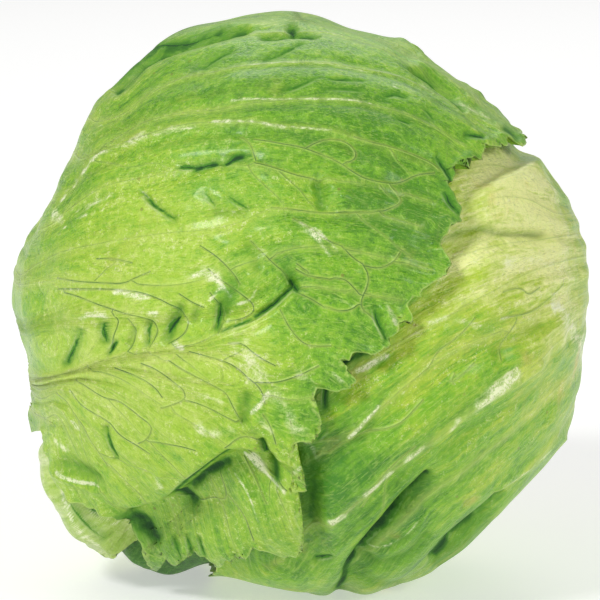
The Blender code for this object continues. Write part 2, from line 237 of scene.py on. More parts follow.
def ripples(place, size, seed):
    # a smooth uneven field of about -1 to 1, with lumps of the given size in metres
    rng = np.random.default_rng(seed)
    total = np.zeros(place.shape[:-1])
    for _ in range(16):
        wave = rng.normal(size=3)
        wave *= pi / size * rng.uniform(0.6, 1.3) / np.linalg.norm(wave)
        total += np.sin(place @ wave + rng.uniform(0, 2 * pi))
    return total / 4.2


def brush(spot, path, width):
    # one along a path drawn in the picture, falling to zero round it
    points = np.array(path, float)
    nearest = np.full(len(spot), 1e9)
    for start, end in zip(points[:-1], points[1:]):
        run = end - start
        along = np.clip((spot - start) @ run / max(run @ run, 1e-9), 0.0, 1.0)
        off = spot - start - along[:, None] * run
        nearest = np.minimum(nearest, np.einsum("ij,ij->i", off, off))
    return np.exp(-nearest / width ** 2)


def jagged(bearing, corners, seed):
    # an uneven broken line round a leaf's edge, from -1 to 1
    dice = np.random.default_rng(seed)
    places = np.sort(dice.uniform(-pi, pi, corners))
    return np.interp(bearing, places, dice.uniform(-1, 1, corners), period=2 * pi)


class Leaf:
    # a leaf's own map: bearing round its middle, and reach from its middle to its edge
    tableSteps = 720
    toothSteps = 2400

    def __init__(self, plan):
        self.plan = plan
        self.middle = roundStem(*plan["middle"])
        self.ahead = unit(self.middle * (self.middle @ stemWay) - stemWay)
        self.across = np.cross(self.middle, self.ahead)
        corners = list(seenAt(plan["edgePx"]))
        corners += [roundStem(turn, away) for turn, away in plan["edgeBehind"]]
        bearing, reach = self.bearingAndReach(np.array(corners))
        order = np.argsort(bearing)
        self.cornerBearing = bearing[order]
        self.cornerReach = reach[order]
        self.stemReach = acos(self.middle @ stemWay)
        ring = np.linspace(-pi, pi, self.tableSteps + 1)
        wide = self.edgeReach(ring)[:-1]
        for _ in range(10):
            wide = np.maximum(wide, np.maximum(np.roll(wide, 1), np.roll(wide, -1)) - radians(0.4))
        for _ in range(60):
            wide = 0.5 * wide + 0.25 * (np.roll(wide, 1) + np.roll(wide, -1))
        self.wideRing = ring[:-1]
        self.wideReach = wide
        self.table = self.edgeReachAtStem(ring)
        span = np.radians(np.linspace(-14, 14, 57))
        weight = np.exp(-0.5 * (span / radians(5.0)) ** 2)
        soft = sum(w * self.edgeReachAtStem((ring[:-1] + gap + pi) % (2 * pi) - pi)
                   for w, gap in zip(weight, span))
        self.softReach = soft / weight.sum()
        self.fineRing = np.linspace(-pi, pi, 10 * self.tableSteps + 1)
        reach = self.edgeReachAtStem(self.fineRing)
        turn = np.diff(self.fineRing)
        steps = np.hypot(np.diff(reach), np.sin(reach[1:]) * turn) + 0.4 * turn
        self.rimShare = np.concatenate([[0], np.cumsum(steps)]) / steps.sum()
        # ragged teeth stand square to the edge, whichever way it runs
        rim = self.direction(self.fineRing, reach)
        self.share = np.linspace(0, 1, self.toothSteps + 1)
        even = readAt(self.share, self.rimShare, rim)
        run = np.roll(even, -7, axis=0) - np.roll(even, 7, axis=0)
        self.rimSide = unit(np.cross(run, even))
        place = self.share * 2 * pi - pi
        teeth = 0.7 * jagged(place, 560, 5) + 0.7 * jagged(place, 150, 8) - 0.2
        teeth *= 0.65 + 0.35 * jagged(place, 24, 6)
        offStem = smoothStep(cos(radians(24)), cos(radians(40)), even @ stemWay)
        self.teeth = plan["teeth"] / head["radius"] * teeth * offStem
        self.ribs = leafRibs(self)

    def bearingAndReach(self, direction):
        reach = np.arccos(np.clip(direction @ self.middle, -1, 1))
        return np.arctan2(direction @ self.across, direction @ self.ahead), reach

    def direction(self, bearing, reach):
        flat = np.cos(bearing)[..., None] * self.ahead + np.sin(bearing)[..., None] * self.across
        return np.cos(reach)[..., None] * self.middle + np.sin(reach)[..., None] * flat

    def edgeReach(self, bearing):
        # straight from corner to corner, with lobes on the hidden side
        reach = np.interp(bearing, self.cornerBearing, self.cornerReach, period=2 * pi)
        behind = self.direction(bearing, reach) @ stemWay
        lobed = smoothStep(cos(radians(105)), cos(radians(85)), behind)
        lobed = lobed * smoothStep(cos(radians(20)), cos(radians(34)), behind)
        lobes = 0.6 * np.sin(17 * bearing) + 0.4 * np.sin(31 * bearing + 2)
        lobes = lobes + 0.5 * jagged(bearing, 70, 7)
        return reach + radians(1.5) * lobes * lobed

    def edgeReachAtStem(self, bearing):
        # held back where the leaf's base stands round the stem
        hole = radians(stem["halfAngle"] + stem["clearance"])
        off = np.abs(np.abs(bearing) - pi)
        widest = asin(sin(hole) / sin(self.stemReach))
        inside = np.minimum(off, widest)
        nearSide = np.arctan2(cos(self.stemReach), sin(self.stemReach) * np.cos(inside))
        span = np.hypot(cos(self.stemReach), sin(self.stemReach) * np.cos(inside))
        base = pi / 2 - nearSide - np.arccos(np.clip(cos(hole) / span, -1, 1))
        base += 3.0 * np.maximum(off - widest, 0.0)
        return np.minimum(self.edgeReach(bearing), base)

    def cover(self, direction):
        bearing, reach = self.bearingAndReach(direction)
        wide = np.interp(bearing, self.wideRing, self.wideReach, period=2 * pi)
        return 1 - smoothStep(*head["tuck"], np.degrees(reach - wide))

    def edgeAt(self, bearing):
        return self.table[int((bearing + pi) / (2 * pi) * self.tableSteps)]

    def holds(self, spot, inside):
        # whether a place on the ball lies on the leaf, further in than an angle
        direction = spot.normalized()
        reach = acos(max(-1.0, min(1.0, direction.dot(Vector(self.middle)))))
        bearing = atan2(direction.dot(Vector(self.across)), direction.dot(Vector(self.ahead)))
        return reach < self.edgeAt(bearing) - inside

    def midrib(self, direction):
        path = [roundStem(turn, away) for turn, away in self.plan["midrib"]]
        distance = besidePath(smoothed(path), direction)[0]
        away = awayFromStem(direction)
        ridge = np.exp(-(distance / head["midribHalfWidth"]) ** 2)
        return smoothStep(*head["midribRun"], away) * ridge


def leafRibs(leaf):
    # the ribs, each from the leaf's base at the stem, in order from one side to the other
    plan = leaf.plan
    baseTurn = plan["midrib"][0][0]
    paths = []
    for count, path in enumerate(plan.get("ribs", [])):
        seen = list(seenAt(path))
        first = seen[0]
        turn = degrees(atan2(first[2], first[0])) % 360
        away = degrees(acos(first @ stemWay))
        swing = (turn - baseTurn + 180) % 360 - 180
        behind = []
        for part in (0.0, 0.15, 0.35, 0.6, 0.8):
            bend = 0.12 + 0.88 * smoothStep(0.0, 1.0, part) if part else 0.12
            behind.append(roundStem(baseTurn + swing * bend, 13 + (away - 13) * part))
        paths.append(smoothed(behind + seen))
    if not paths:
        spread = plan["fan"]
        for side in np.linspace(-1, 1, plan["fanRibs"]):
            points = []
            for away in np.linspace(13, 105, 9):
                middleTurn = np.interp(away, *np.array([(a, t) for t, a in plan["midrib"]]).T)
                opened = 0.18 + 0.82 * smoothStep(10, 95, away)
                wobble = 1.2 * sin(3 * side + away / 14)
                points.append(roundStem(middleTurn + side * spread * opened + wobble, away))
            paths.append(smoothed(points))
    return paths


class VeinNet:
    # veins as points on the ball, each with its heading, its strength and the vein it belongs to
    step = 0.0006
    size = 0.0015
    ribStep = 0.375     # how far apart a rib's points are, in the plan's units of 4 mm

    def __init__(self, leaf, seed):
        self.leaf = leaf
        self.dice = random.Random(seed)
        self.spots = []
        self.ways = []
        self.strengths = []
        self.ends = []
        self.veins = []
        self.cells = {}
        ways = [unit(np.gradient(rib, axis=0)[::2]) for rib in leaf.ribs]
        self.flowWays = [Vector(way) for way in np.concatenate(ways)]
        self.flowTree = kdtree.KDTree(len(self.flowWays))
        for index, spot in enumerate(np.concatenate([rib[::2] for rib in leaf.ribs])):
            self.flowTree.insert(spot, index)
        self.flowTree.balance()

    def flow(self, spot):
        way = Vector((0, 0, 0))
        for _, index, distance in self.flowTree.find_n(spot, 8):
            way += self.flowWays[index] / (distance ** 2 + 1e-5)
        return (way - way.project(spot)).normalized()

    def cellOf(self, spot):
        return floor(spot.x / self.size), floor(spot.y / self.size), floor(spot.z / self.size)

    def lay(self, path, strength, fadeTo=1.0, tapered=False):
        points = evenPath(np.array(path), self.step, 3)
        ways = unit(np.gradient(points, axis=0))
        last = len(points) - 1
        vein = self.veins[-1] + 1 if self.veins else 0
        for k, (point, way) in enumerate(zip(points, ways)):
            spot = Vector(point)
            self.cells.setdefault(self.cellOf(spot), []).append(len(self.spots))
            self.spots.append(spot)
            self.ways.append(way)
            taper = 1 + (fadeTo - 1) * k / last
            if tapered:
                taper = sin(pi * (k + 1) / (last + 2)) ** 0.8
            self.strengths.append(strength * taper)
            self.ends.append(1 if k == last else -1 if k == 0 else 0)
            self.veins.append(vein)

    def meets(self, spot, reach):
        x, y, z = self.cellOf(spot)
        span = range(-int(reach / self.size) - 1, int(reach / self.size) + 2)
        for dx in span:
            for dy in span:
                for dz in span:
                    for index in self.cells.get((x + dx, y + dy, z + dz), ()):
                        if (self.spots[index] - spot).length < reach:
                            return self.spots[index]
        return None

    def layClear(self, path, gap, strength, fadeTo=1.0):
        # lays the stretches of a path that keep clear of other veins, joined on to those they meet
        runs = []
        run = []
        for spot in [Vector(point) for point in path]:
            met = self.meets(spot, gap)
            if met is None:
                run.append(spot)
            else:
                runs.append(run + [met])
                run = [met]
        runs.append(run)
        for run in runs:
            if len(run) > 5:
                self.lay(run, strength, fadeTo)

    def trace(self, start, heading, lean, longest, wobble):
        # a vein that bends to an angle off the ribs' run and ends where it meets another
        path = [start]
        spot = start
        for count in range(int(longest / self.step)):
            up = spot.normalized()
            wanted = self.flow(spot)
            wanted.rotate(Quaternion(up, lean))
            heading = heading * 0.90 + wanted * 0.10
            heading.rotate(Quaternion(up, self.dice.gauss(0, wobble)))
            heading = (heading - heading.project(up)).normalized()
            spot = (spot + heading * self.step).normalized() * head["radius"]
            if not self.leaf.holds(spot, 0.004):
                break
            if count > 3:
                met = self.meets(spot, 0.0009)
                if met:
                    path.append(met)
                    break
            path.append(spot)
        return path

    def grow(self, plan):
        for path in plan.get("veins", []):
            self.layClear(onHead(path, 0.0006), 0.0009, 1.0)
        for rib in self.leaf.ribs:
            self.layClear(rib, 0.0016, 0.75, 0.35)
        for rib in self.leaf.ribs:
            travel = self.dice.uniform(4, 16)
            while travel < len(rib) - 3:
                spot = Vector(rib[int(travel)])
                way = (Vector(rib[int(travel) + 1]) - spot).normalized()
                for side in (-1, 1):
                    turned = way.copy()
                    lean = side * self.dice.uniform(0.35, 0.75)
                    swing = side * self.dice.uniform(0.5, 0.9)
                    turned.rotate(Quaternion(spot.normalized(), swing))
                    first = (spot + turned * 0.0018).normalized() * head["radius"]
                    if self.leaf.holds(first, 0.02) and not self.meets(first, 0.0015):
                        path = [spot] + self.trace(first, turned, lean, plan["sideLength"], 0.07)
                        if len(path) > 8:
                            self.lay(path, 0.70, 0.5)
                travel += self.dice.uniform(*plan["sideEvery"]) / self.ribStep

    def fill(self, tries, gap, strength):
        # cross veins, wherever the leaf is still empty
        for _ in range(tries):
            bearing = self.dice.uniform(-pi, pi)
            edge = self.leaf.edgeAt(bearing)
            reach = acos(1 - self.dice.random() * (1 - cos(edge)))
            spot = Vector(self.leaf.direction(np.array(bearing), np.array(reach))) * head["radius"]
            if not self.leaf.holds(spot, 0.02) or self.meets(spot, gap):
                continue
            lean = self.dice.choice((-1, 1)) * self.dice.uniform(0.7, 1.5)
            halves = []
            for turn in (lean, lean + pi):
                way = self.flow(spot)
                way.rotate(Quaternion(spot.normalized(), turn))
                halves.append(self.trace(spot, way, turn, 0.014, 0.08))
            path = halves[0][::-1] + halves[1][1:]
            if len(path) > 5:
                self.lay(path, strength)

    def tree(self):
        tree = kdtree.KDTree(len(self.spots))
        for index, spot in enumerate(self.spots):
            tree.insert(spot, index)
        tree.balance()
        return tree

    def distance(self, places):
        tree = self.tree()
        return np.array([tree.find(place)[2] for place in places])

    def threads(self, corners):
        # for each face, its two nearest veins as straight lines: at each corner how far it is
        # beside the vein (mm), how far past the vein's end (mm), and the vein's strength
        tree = self.tree()
        nearest = []
        for middle in corners.mean(axis=1):
            found = [index for _, index, _ in tree.find_n(middle, 10)]
            first = found[0]
            others = [index for index in found if self.veins[index] != self.veins[first]]
            nearest.append((first, others[0] if others else first))
        spots = np.array(self.spots)
        ways = np.array(self.ways)
        ends = np.array(self.ends)
        strengths = np.array(self.strengths)
        layers = []
        for index in np.array(nearest).T:
            gap = corners - spots[index][:, None]
            aside = np.cross(unit(spots[index]), ways[index])
            beside = np.einsum("fci,fi->fc", gap, aside)
            past = np.einsum("fci,fi->fc", gap, ways[index])
            past = np.where(ends[index][:, None] == 0, -0.005, past * ends[index][:, None])
            strong = np.repeat(strengths[index][:, None], 4, axis=1)
            layers.append(np.stack([beside * 1000, past * 1000, strong], axis=-1))
        return layers


def ribField(leaf, direction):
    # across: a number that is whole along each rib, and the ribs' own raised band
    distances = []
    band = np.zeros(len(direction))
    for rib in leaf.ribs:
        distance, _, travel, length = besidePath(rib, direction)
        part = np.clip(travel / length, 0.0, 1.0)
        width = 0.0042 * (1 - part) ** 1.6 + 0.0011
        band = np.maximum(band, np.exp(-(distance / width) ** 2) * (1.0 - 0.65 * part))
        distances.append(distance)
    low = np.array(distances[:-1])
    both = low + np.array(distances[1:]) + 1e-6
    pull = (both.min(axis=0) / both) ** 10
    place = np.arange(len(both))[:, None] + low / both
    return (pull * place).sum(axis=0) / pull.sum(axis=0), band


def alongLeaf(leaf, direction):
    # how far along the leaf's ribs a place is, in radians
    side = leaf.plan["runs"]
    if side == 0:
        return np.arccos(np.clip(direction @ stemWay, -1, 1))
    turn = np.arctan2(direction[..., 0], -direction[..., 1]) - side * radians(8)
    return side * ((turn + pi) % (2 * pi) - pi)


def gridFaces(cells, first, flip):
    row = np.arange(cells)
    corner = (row[:, None] * (cells + 1) + row[None, :]).ravel() + first
    quads = np.stack([corner, corner + 1, corner + cells + 2, corner + cells + 1], axis=1)
    return quads[:, ::-1] if flip else quads


def rimOf(cells, first):
    line = np.arange(cells)
    side = cells + 1
    loop = np.concatenate([line, line * side + cells, cells * side + cells - line,
                           (cells - line) * side])
    return loop + first


def leafSurface(leaf, leavesAbove, cells):
    # directions of a square grid bent to the leaf's outline, with all that is known at each
    line = np.linspace(-1, 1, cells + 1)
    x, y = (a.ravel() for a in np.meshgrid(line, line))
    ring = np.maximum(np.abs(x), np.abs(y))
    wide = np.abs(x) >= np.abs(y)
    bearingX = pi / 4 * y / np.where(x == 0, 1, x) + np.where(x < 0, pi, 0)
    bearingY = pi / 2 - pi / 4 * x / np.where(y == 0, 1, y) + np.where(y < 0, pi, 0)
    even = (np.where(wide, bearingX, bearingY) + pi) % (2 * pi)
    ring = ring * (1.28 - 0.28 * ring)
    # at the rim the steps follow the edge's own length, so that deep notches get their share
    atRim = np.interp(even / (2 * pi), leaf.rimShare, leaf.fineRing)
    bearing = even - pi + (atRim - even + pi) * ring ** 2
    edge = leaf.edgeReachAtStem(atRim)
    soft = np.interp(bearing, leaf.wideRing, leaf.softReach, period=2 * pi)
    reach = ring * soft + (edge - soft) * ring ** 4
    direction = leaf.direction(bearing, reach)
    share = even / (2 * pi)
    side = readAt(share, leaf.share, leaf.rimSide)
    tooth = np.interp(share, leaf.share, leaf.teeth) * ring ** 22
    direction = unit(direction + side * tooth[:, None])
    covers = [above.cover(direction) for above in leavesAbove]
    bare = np.prod([1 - cover for cover in covers], axis=0) if covers else np.ones(len(ring))
    depth = head["step"] * sum(covers) if covers else np.zeros(len(ring))
    place = direction * head["radius"]
    rim = rimOf(cells, 0)
    tree = kdtree.KDTree(len(rim))
    for index, spot in enumerate(place[rim]):
        tree.insert(spot, index)
    tree.balance()
    inward = np.array([tree.find(spot)[2] for spot in place])
    return bearing, direction, bare, depth, inward


def shapeOf(leaf, leavesAbove, cells, net):
    # the outer face's radius, and the fields that the finish reads
    plan = leaf.plan
    bearing, direction, bare, depth, inward = leafSurface(leaf, leavesAbove, cells)
    across, band = ribField(leaf, direction)
    place = direction * head["radius"]
    spot, near = pictureOf(direction * headRadius(direction)[:, None])
    front = smoothStep(-0.004, 0.006, near)
    away = awayFromStem(direction)
    offStem = smoothStep(14.0, 40.0, away)
    offTable = smoothStep(-0.86, -0.70, direction[:, 2])

    ruffle = 0.5 + 0.3 * np.sin(9 * bearing) + 0.2 * np.sin(23 * bearing + 1.0)
    lift = 0.0016 * ruffle * smoothStep(0.012, 0.0, inward)
    crimp = np.sin(47 * bearing + 5 * np.sin(6 * bearing)) + 0.6 * np.sin(91 * bearing + 2)
    lift += plan["crimp"] * (0.7 + crimp) * smoothStep(0.0045, 0.0, inward)
    lift *= bare * offStem * offTable

    relief = plan["ribLift"] * band
    relief += head["midribHeight"] * leaf.midrib(direction)
    between = np.sin(pi * across) ** 2
    relief += plan["swell"] * between * offStem
    relief += plan["lumps"] * (ripples(place, 0.013, 3) + 0.45 * ripples(place, 0.0055, 4))
    puff = smoothStep(0.0002, 0.0045, net.distance(place))
    relief += plan["puff"] * puff * offStem
    relief *= bare
    # painted shade: the strokes darken dents, creases and the shadows under leaf edges
    dark = np.zeros(len(place))
    for path, width, height, shade in plan.get("strokes", []):
        mark = brush(spot, path, width) * front
        relief += height * mark * bare
        dark = np.maximum(dark, shade * mark)

    # pressed before it is set under the leaves above, so that no two leaves meet on the table
    radius = headRadius(direction) + folds(direction, bare) + lift + relief
    radius = pressFlat(direction, radius, head["offTable"]) - depth
    # tone: the leaf's own paleness, with painted light and painted shade laid on in patches
    light = plan["light"] + np.zeros(len(place))
    for x, y, size, amount in plan.get("paintedLightAndTone", []):
        gap = np.linalg.norm(place - seenAt([(x, y)]) * head["radius"], axis=1)
        light += amount * np.exp(-(gap / (size * view["pixel"])) ** 2)
    light += plan["paleBase"] * smoothStep(80.0, 18.0, away)
    # painted highlights: pale glints drawn along given paths
    glow = np.zeros(len(place))
    for path, width, amount in plan.get("paintedHighlights", []):
        gap = besidePath(onHead(path, 0.0008), direction)[0]
        glow += amount * np.exp(-(gap / (width * view["pixel"])) ** 2)
    fields = {
        "across": across,
        "along": alongLeaf(leaf, direction),
        "rib": band,
        "light": light,
        "dark": dark,
        "glow": glow,
        "inward": inward * 1000,
    }
    return direction, radius, fields


def thinFace(radius, cells, every):
    # the inner face on a coarser grid, kept under every dent of the outer one
    side = cells + 1
    square = radius.reshape(side, side)
    rows = np.arange(0, side, every)
    low = np.full((len(rows), len(rows)), np.inf)
    for dx in range(-every, every + 1):
        for dy in range(-every, every + 1):
            r = np.clip(rows + dy, 0, cells)
            c = np.clip(rows + dx, 0, cells)
            low = np.minimum(low, square[np.ix_(r, c)])
    low -= head["thickness"]
    border = np.zeros(low.shape, bool)
    border[[0, -1], :] = True
    border[:, [0, -1]] = True
    atEdge = square[np.ix_(rows, rows)] - head["rimThickness"]
    return np.where(border, atEdge, low).ravel()


def turnedFaces(rows, steps, flip):
    # the faces between a turned shape's rings, and the fans that close its two ends
    here = np.arange(steps)
    beside = (here + 1) % steps
    first = np.arange(rows - 1)[:, None] * steps
    a = (first + here).ravel()
    b = (first + beside).ravel()
    quads = np.stack([a, b, b + steps, a + steps], axis=1)
    last = (rows - 1) * steps
    low = np.stack([beside, here, np.full(steps, rows * steps)], axis=1)
    high = np.stack([last + here, last + beside, np.full(steps, rows * steps + 1)], axis=1)
    fans = np.concatenate([low, high])
    if flip:
        return quads[:, [0, 3, 2, 1]], fans[:, [1, 0, 2]]
    return quads, fans


def meshOf(name, points, quads, triangles=None):
    mesh = bpy.data.meshes.new(name)
    faces = [tuple(q) for q in quads.tolist()]
    if triangles is not None:
        faces += [tuple(t) for t in triangles.tolist()]
    mesh.from_pydata(points.tolist(), [], faces)
    mesh.shade_smooth()
    thing = bpy.data.objects.new(name, mesh)
    thing.location = head["middle"]
    bpy.context.scene.collection.objects.link(thing)
    return thing


def setField(mesh, name, values, count):
    padded = np.zeros(count, np.float32)
    padded[:len(values)] = values
    padded[len(values):] = values.mean()
    mesh.attributes.new(name, "FLOAT", "POINT").data.foreach_set("value", padded)


def setThread(mesh, name, values):
    # kept at the corners of the outer faces, so that each face has its own straight piece of vein
    padded = np.zeros((len(mesh.loops), 3), np.float32)
    padded[:, 0] = 9.0
    padded[:values.shape[0] * 4] = values.reshape(-1, 3)
    data = mesh.attributes.new(name, "FLOAT_VECTOR", "CORNER").data
    data.foreach_set("vector", padded.ravel())


def makeLeaf(leaf, leavesAbove, seed):
    plan = leaf.plan
    cells = plan["cells"]
    every = plan["every"]
    net = VeinNet(leaf, seed)
    net.grow(plan)
    direction, radius, fields = shapeOf(leaf, leavesAbove, cells, net)
    coarse = cells // every
    pick = (np.arange(0, cells + 1, every)[:, None] * (cells + 1)
            + np.arange(0, cells + 1, every)[None, :]).ravel()
    inner = thinFace(radius, cells, every)
    points = np.concatenate([direction * radius[:, None], direction[pick] * inner[:, None]])
    first = len(direction)
    quads = np.concatenate([gridFaces(cells, 0, False), gridFaces(coarse, first, True)])
    outerRim = rimOf(cells, 0)
    innerRim = rimOf(coarse, first)
    triangles = []
    for k, low in enumerate(innerRim):
        nextLow = innerRim[(k + 1) % len(innerRim)]
        half = every // 2
        for part in range(every):
            a = outerRim[k * every + part]
            b = outerRim[(k * every + part + 1) % len(outerRim)]
            triangles.append((b, a, low if part < half else nextLow))
            if part == half - 1:
                triangles.append((b, low, nextLow))
    triangles = np.array(triangles)
    faceWay = np.cross(points[1] - points[0], points[cells + 1] - points[0]) @ direction[0]
    if faceWay < 0:
        quads = quads[:, ::-1]
        triangles = triangles[:, ::-1]
    thing = meshOf("leaf_" + plan["name"], points, quads, triangles)
    mesh = thing.data
    for name, values in fields.items():
        setField(mesh, name, values, len(points))
    corners = (direction * head["radius"])[quads[:cells * cells]]
    for name, values in zip(("veinFirst", "veinSecond"), net.threads(corners)):
        setThread(mesh, name, values)
    net.fill(plan["fillTries"], plan["fillGap"], 0.5)
    setThread(mesh, "veinNet", net.threads(corners)[0])
    slits = VeinNet(leaf, seed)
    for path, width, height, shade in plan.get("strokes", []):
        if height < 0 and width < 4.6 and shade > 0.35:
            slits.lay(onHead(path, 0.0006), shade, tapered=True)
    if not slits.spots:
        slits.lay(leaf.ribs[0], 0.0)
    setThread(mesh, "slit", slits.threads(corners)[0])
    mesh.materials.append(leafFinish(plan["name"] + "_finish", plan["look"]))
    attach(thing, "root")
    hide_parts(plan["node"])
    print(plan["name"], "leaf made,", len(net.spots), "vein points,", len(mesh.polygons), "faces")
    return thing


class Wire:
    # a shader value that can be added, multiplied and so on; each sum adds its Math node
    def __init__(self, tree, socket):
        self.tree = tree
        self.socket = socket

    def sum(self, operation, *parts, clamp=False):
        node = self.tree.nodes.new("ShaderNodeMath")
        node.operation = operation
        node.use_clamp = clamp
        for slot, part in zip(node.inputs, parts):
            if isinstance(part, Wire):
                self.tree.links.new(part.socket, slot)
            else:
                slot.default_value = part
        return Wire(self.tree, node.outputs[0])

    def __add__(self, other):
        return self.sum("ADD", self, other)

    def __radd__(self, other):
        return self.sum("ADD", other, self)

    def __sub__(self, other):
        return self.sum("SUBTRACT", self, other)

    def __rsub__(self, other):
        return self.sum("SUBTRACT", other, self)

    def __mul__(self, other):
        return self.sum("MULTIPLY", self, other)

    def __rmul__(self, other):
        return self.sum("MULTIPLY", other, self)

    def __truediv__(self, other):
        return self.sum("DIVIDE", self, other)

    def __rtruediv__(self, other):
        return self.sum("DIVIDE", other, self)

    def __pow__(self, other):
        return self.sum("POWER", self, other)

    def __abs__(self):
        return self.sum("ABSOLUTE", self)

    def clamped(self):
        return self.sum("ADD", self, 0.0, clamp=True)

    def most(self, other):
        return self.sum("MAXIMUM", self, other)


class Paint:
    # a material and the one method that adds its nodes
    def __init__(self, name):
        self.material = bpy.data.materials.new(name)
        self.material.use_nodes = True
        self.tree = self.material.node_tree
        self.tree.nodes.clear()
        self.surface = self.tree.nodes.new("ShaderNodeBsdfPrincipled")
        self.output = self.tree.nodes.new("ShaderNodeOutputMaterial")
        self.tree.links.new(self.surface.outputs[0], self.output.inputs["Surface"])
        self.place = self.node("ShaderNodeTexCoord", out="Object")

    def node(self, kind, settings=None, inputs=None, out=0):
        node = self.tree.nodes.new(kind)
        for name, value in (settings or {}).items():
            if name == "stops":
                ramp = node.color_ramp
                while len(ramp.elements) < len(value):
                    ramp.elements.new(0.5)
                for element, (position, colour) in zip(ramp.elements, value):
                    element.position = position
                    element.color = (*colour, 1.0)
            else:
                setattr(node, name, value)
        for name, value in (inputs or {}).items():
            slot = node.inputs[name]
            if isinstance(value, Wire):
                self.tree.links.new(value.socket, slot)
            else:
                slot.default_value = value
        return Wire(self.tree, node.outputs[out])

    def field(self, name):
        return self.node("ShaderNodeAttribute", {"attribute_name": name}, out="Fac")

    def split(self, vector):
        outputs = self.node("ShaderNodeSeparateXYZ", {}, {0: vector}).socket.node.outputs
        return [Wire(self.tree, output) for output in outputs]

    def thread(self, name, sided=False):
        # how far beside a vein, and how much of the vein there is
        vector = self.node("ShaderNodeAttribute", {"attribute_name": name}, out="Vector")
        beside, past, strength = self.split(vector)
        much = self.band(past, 0.0, 0.5, 1.0, 0.0) * strength
        return (beside if sided else abs(beside)), much

    def mix(self, factor, first, second, blend="MIX"):
        colours = [(*c, 1.0) if isinstance(c, tuple) else c for c in (first, second)]
        return self.node("ShaderNodeMix", {"data_type": "RGBA", "blend_type": blend},
                         {0: factor, 6: colours[0], 7: colours[1]}, out=2)

    def layered(self, colour, layers):
        # colours laid over one another, each as far as its own factor says
        for factor, over in layers:
            colour = self.mix(factor.clamped(), colour, over)
        return colour

    def ramp(self, factor, stops):
        return self.node("ShaderNodeValToRGB", {"stops": stops}, {"Fac": factor})

    def bump(self, height):
        return self.node("ShaderNodeBump", {}, {"Height": height, "Distance": 0.001,
                                                "Strength": 1.0})

    def dots(self, place, scale):
        return self.node("ShaderNodeTexVoronoi", {}, {"Vector": place, "Scale": scale})

    def band(self, value, low, high, start=0.0, end=1.0):
        return self.node("ShaderNodeMapRange", {"interpolation_type": "SMOOTHSTEP"},
                         {"Value": value, "From Min": low, "From Max": high, "To Min": start,
                          "To Max": end})

    def noise(self, place, scale, detail=2.0, roughness=0.5):
        return self.node("ShaderNodeTexNoise", {}, {"Vector": place, "Scale": scale,
                                                    "Detail": detail, "Roughness": roughness})

    def set(self, **values):
        for name, value in values.items():
            slot = self.surface.inputs[socketNames.get(name, name)]
            if isinstance(value, Wire):
                self.tree.links.new(value.socket, slot)
            else:
                slot.default_value = (*value, 1.0) if name == "colour" else value


socketNames = {"colour": "Base Color", "roughness": "Roughness", "normal": "Normal",
               "coat": "Coat Weight", "coatRoughness": "Coat Roughness", "ior": "IOR",
               "depth": "Subsurface Weight", "depthScale": "Subsurface Scale",
               "depthRadius": "Subsurface Radius", "glow": "Emission Strength",
               "glowColour": "Emission Color"}


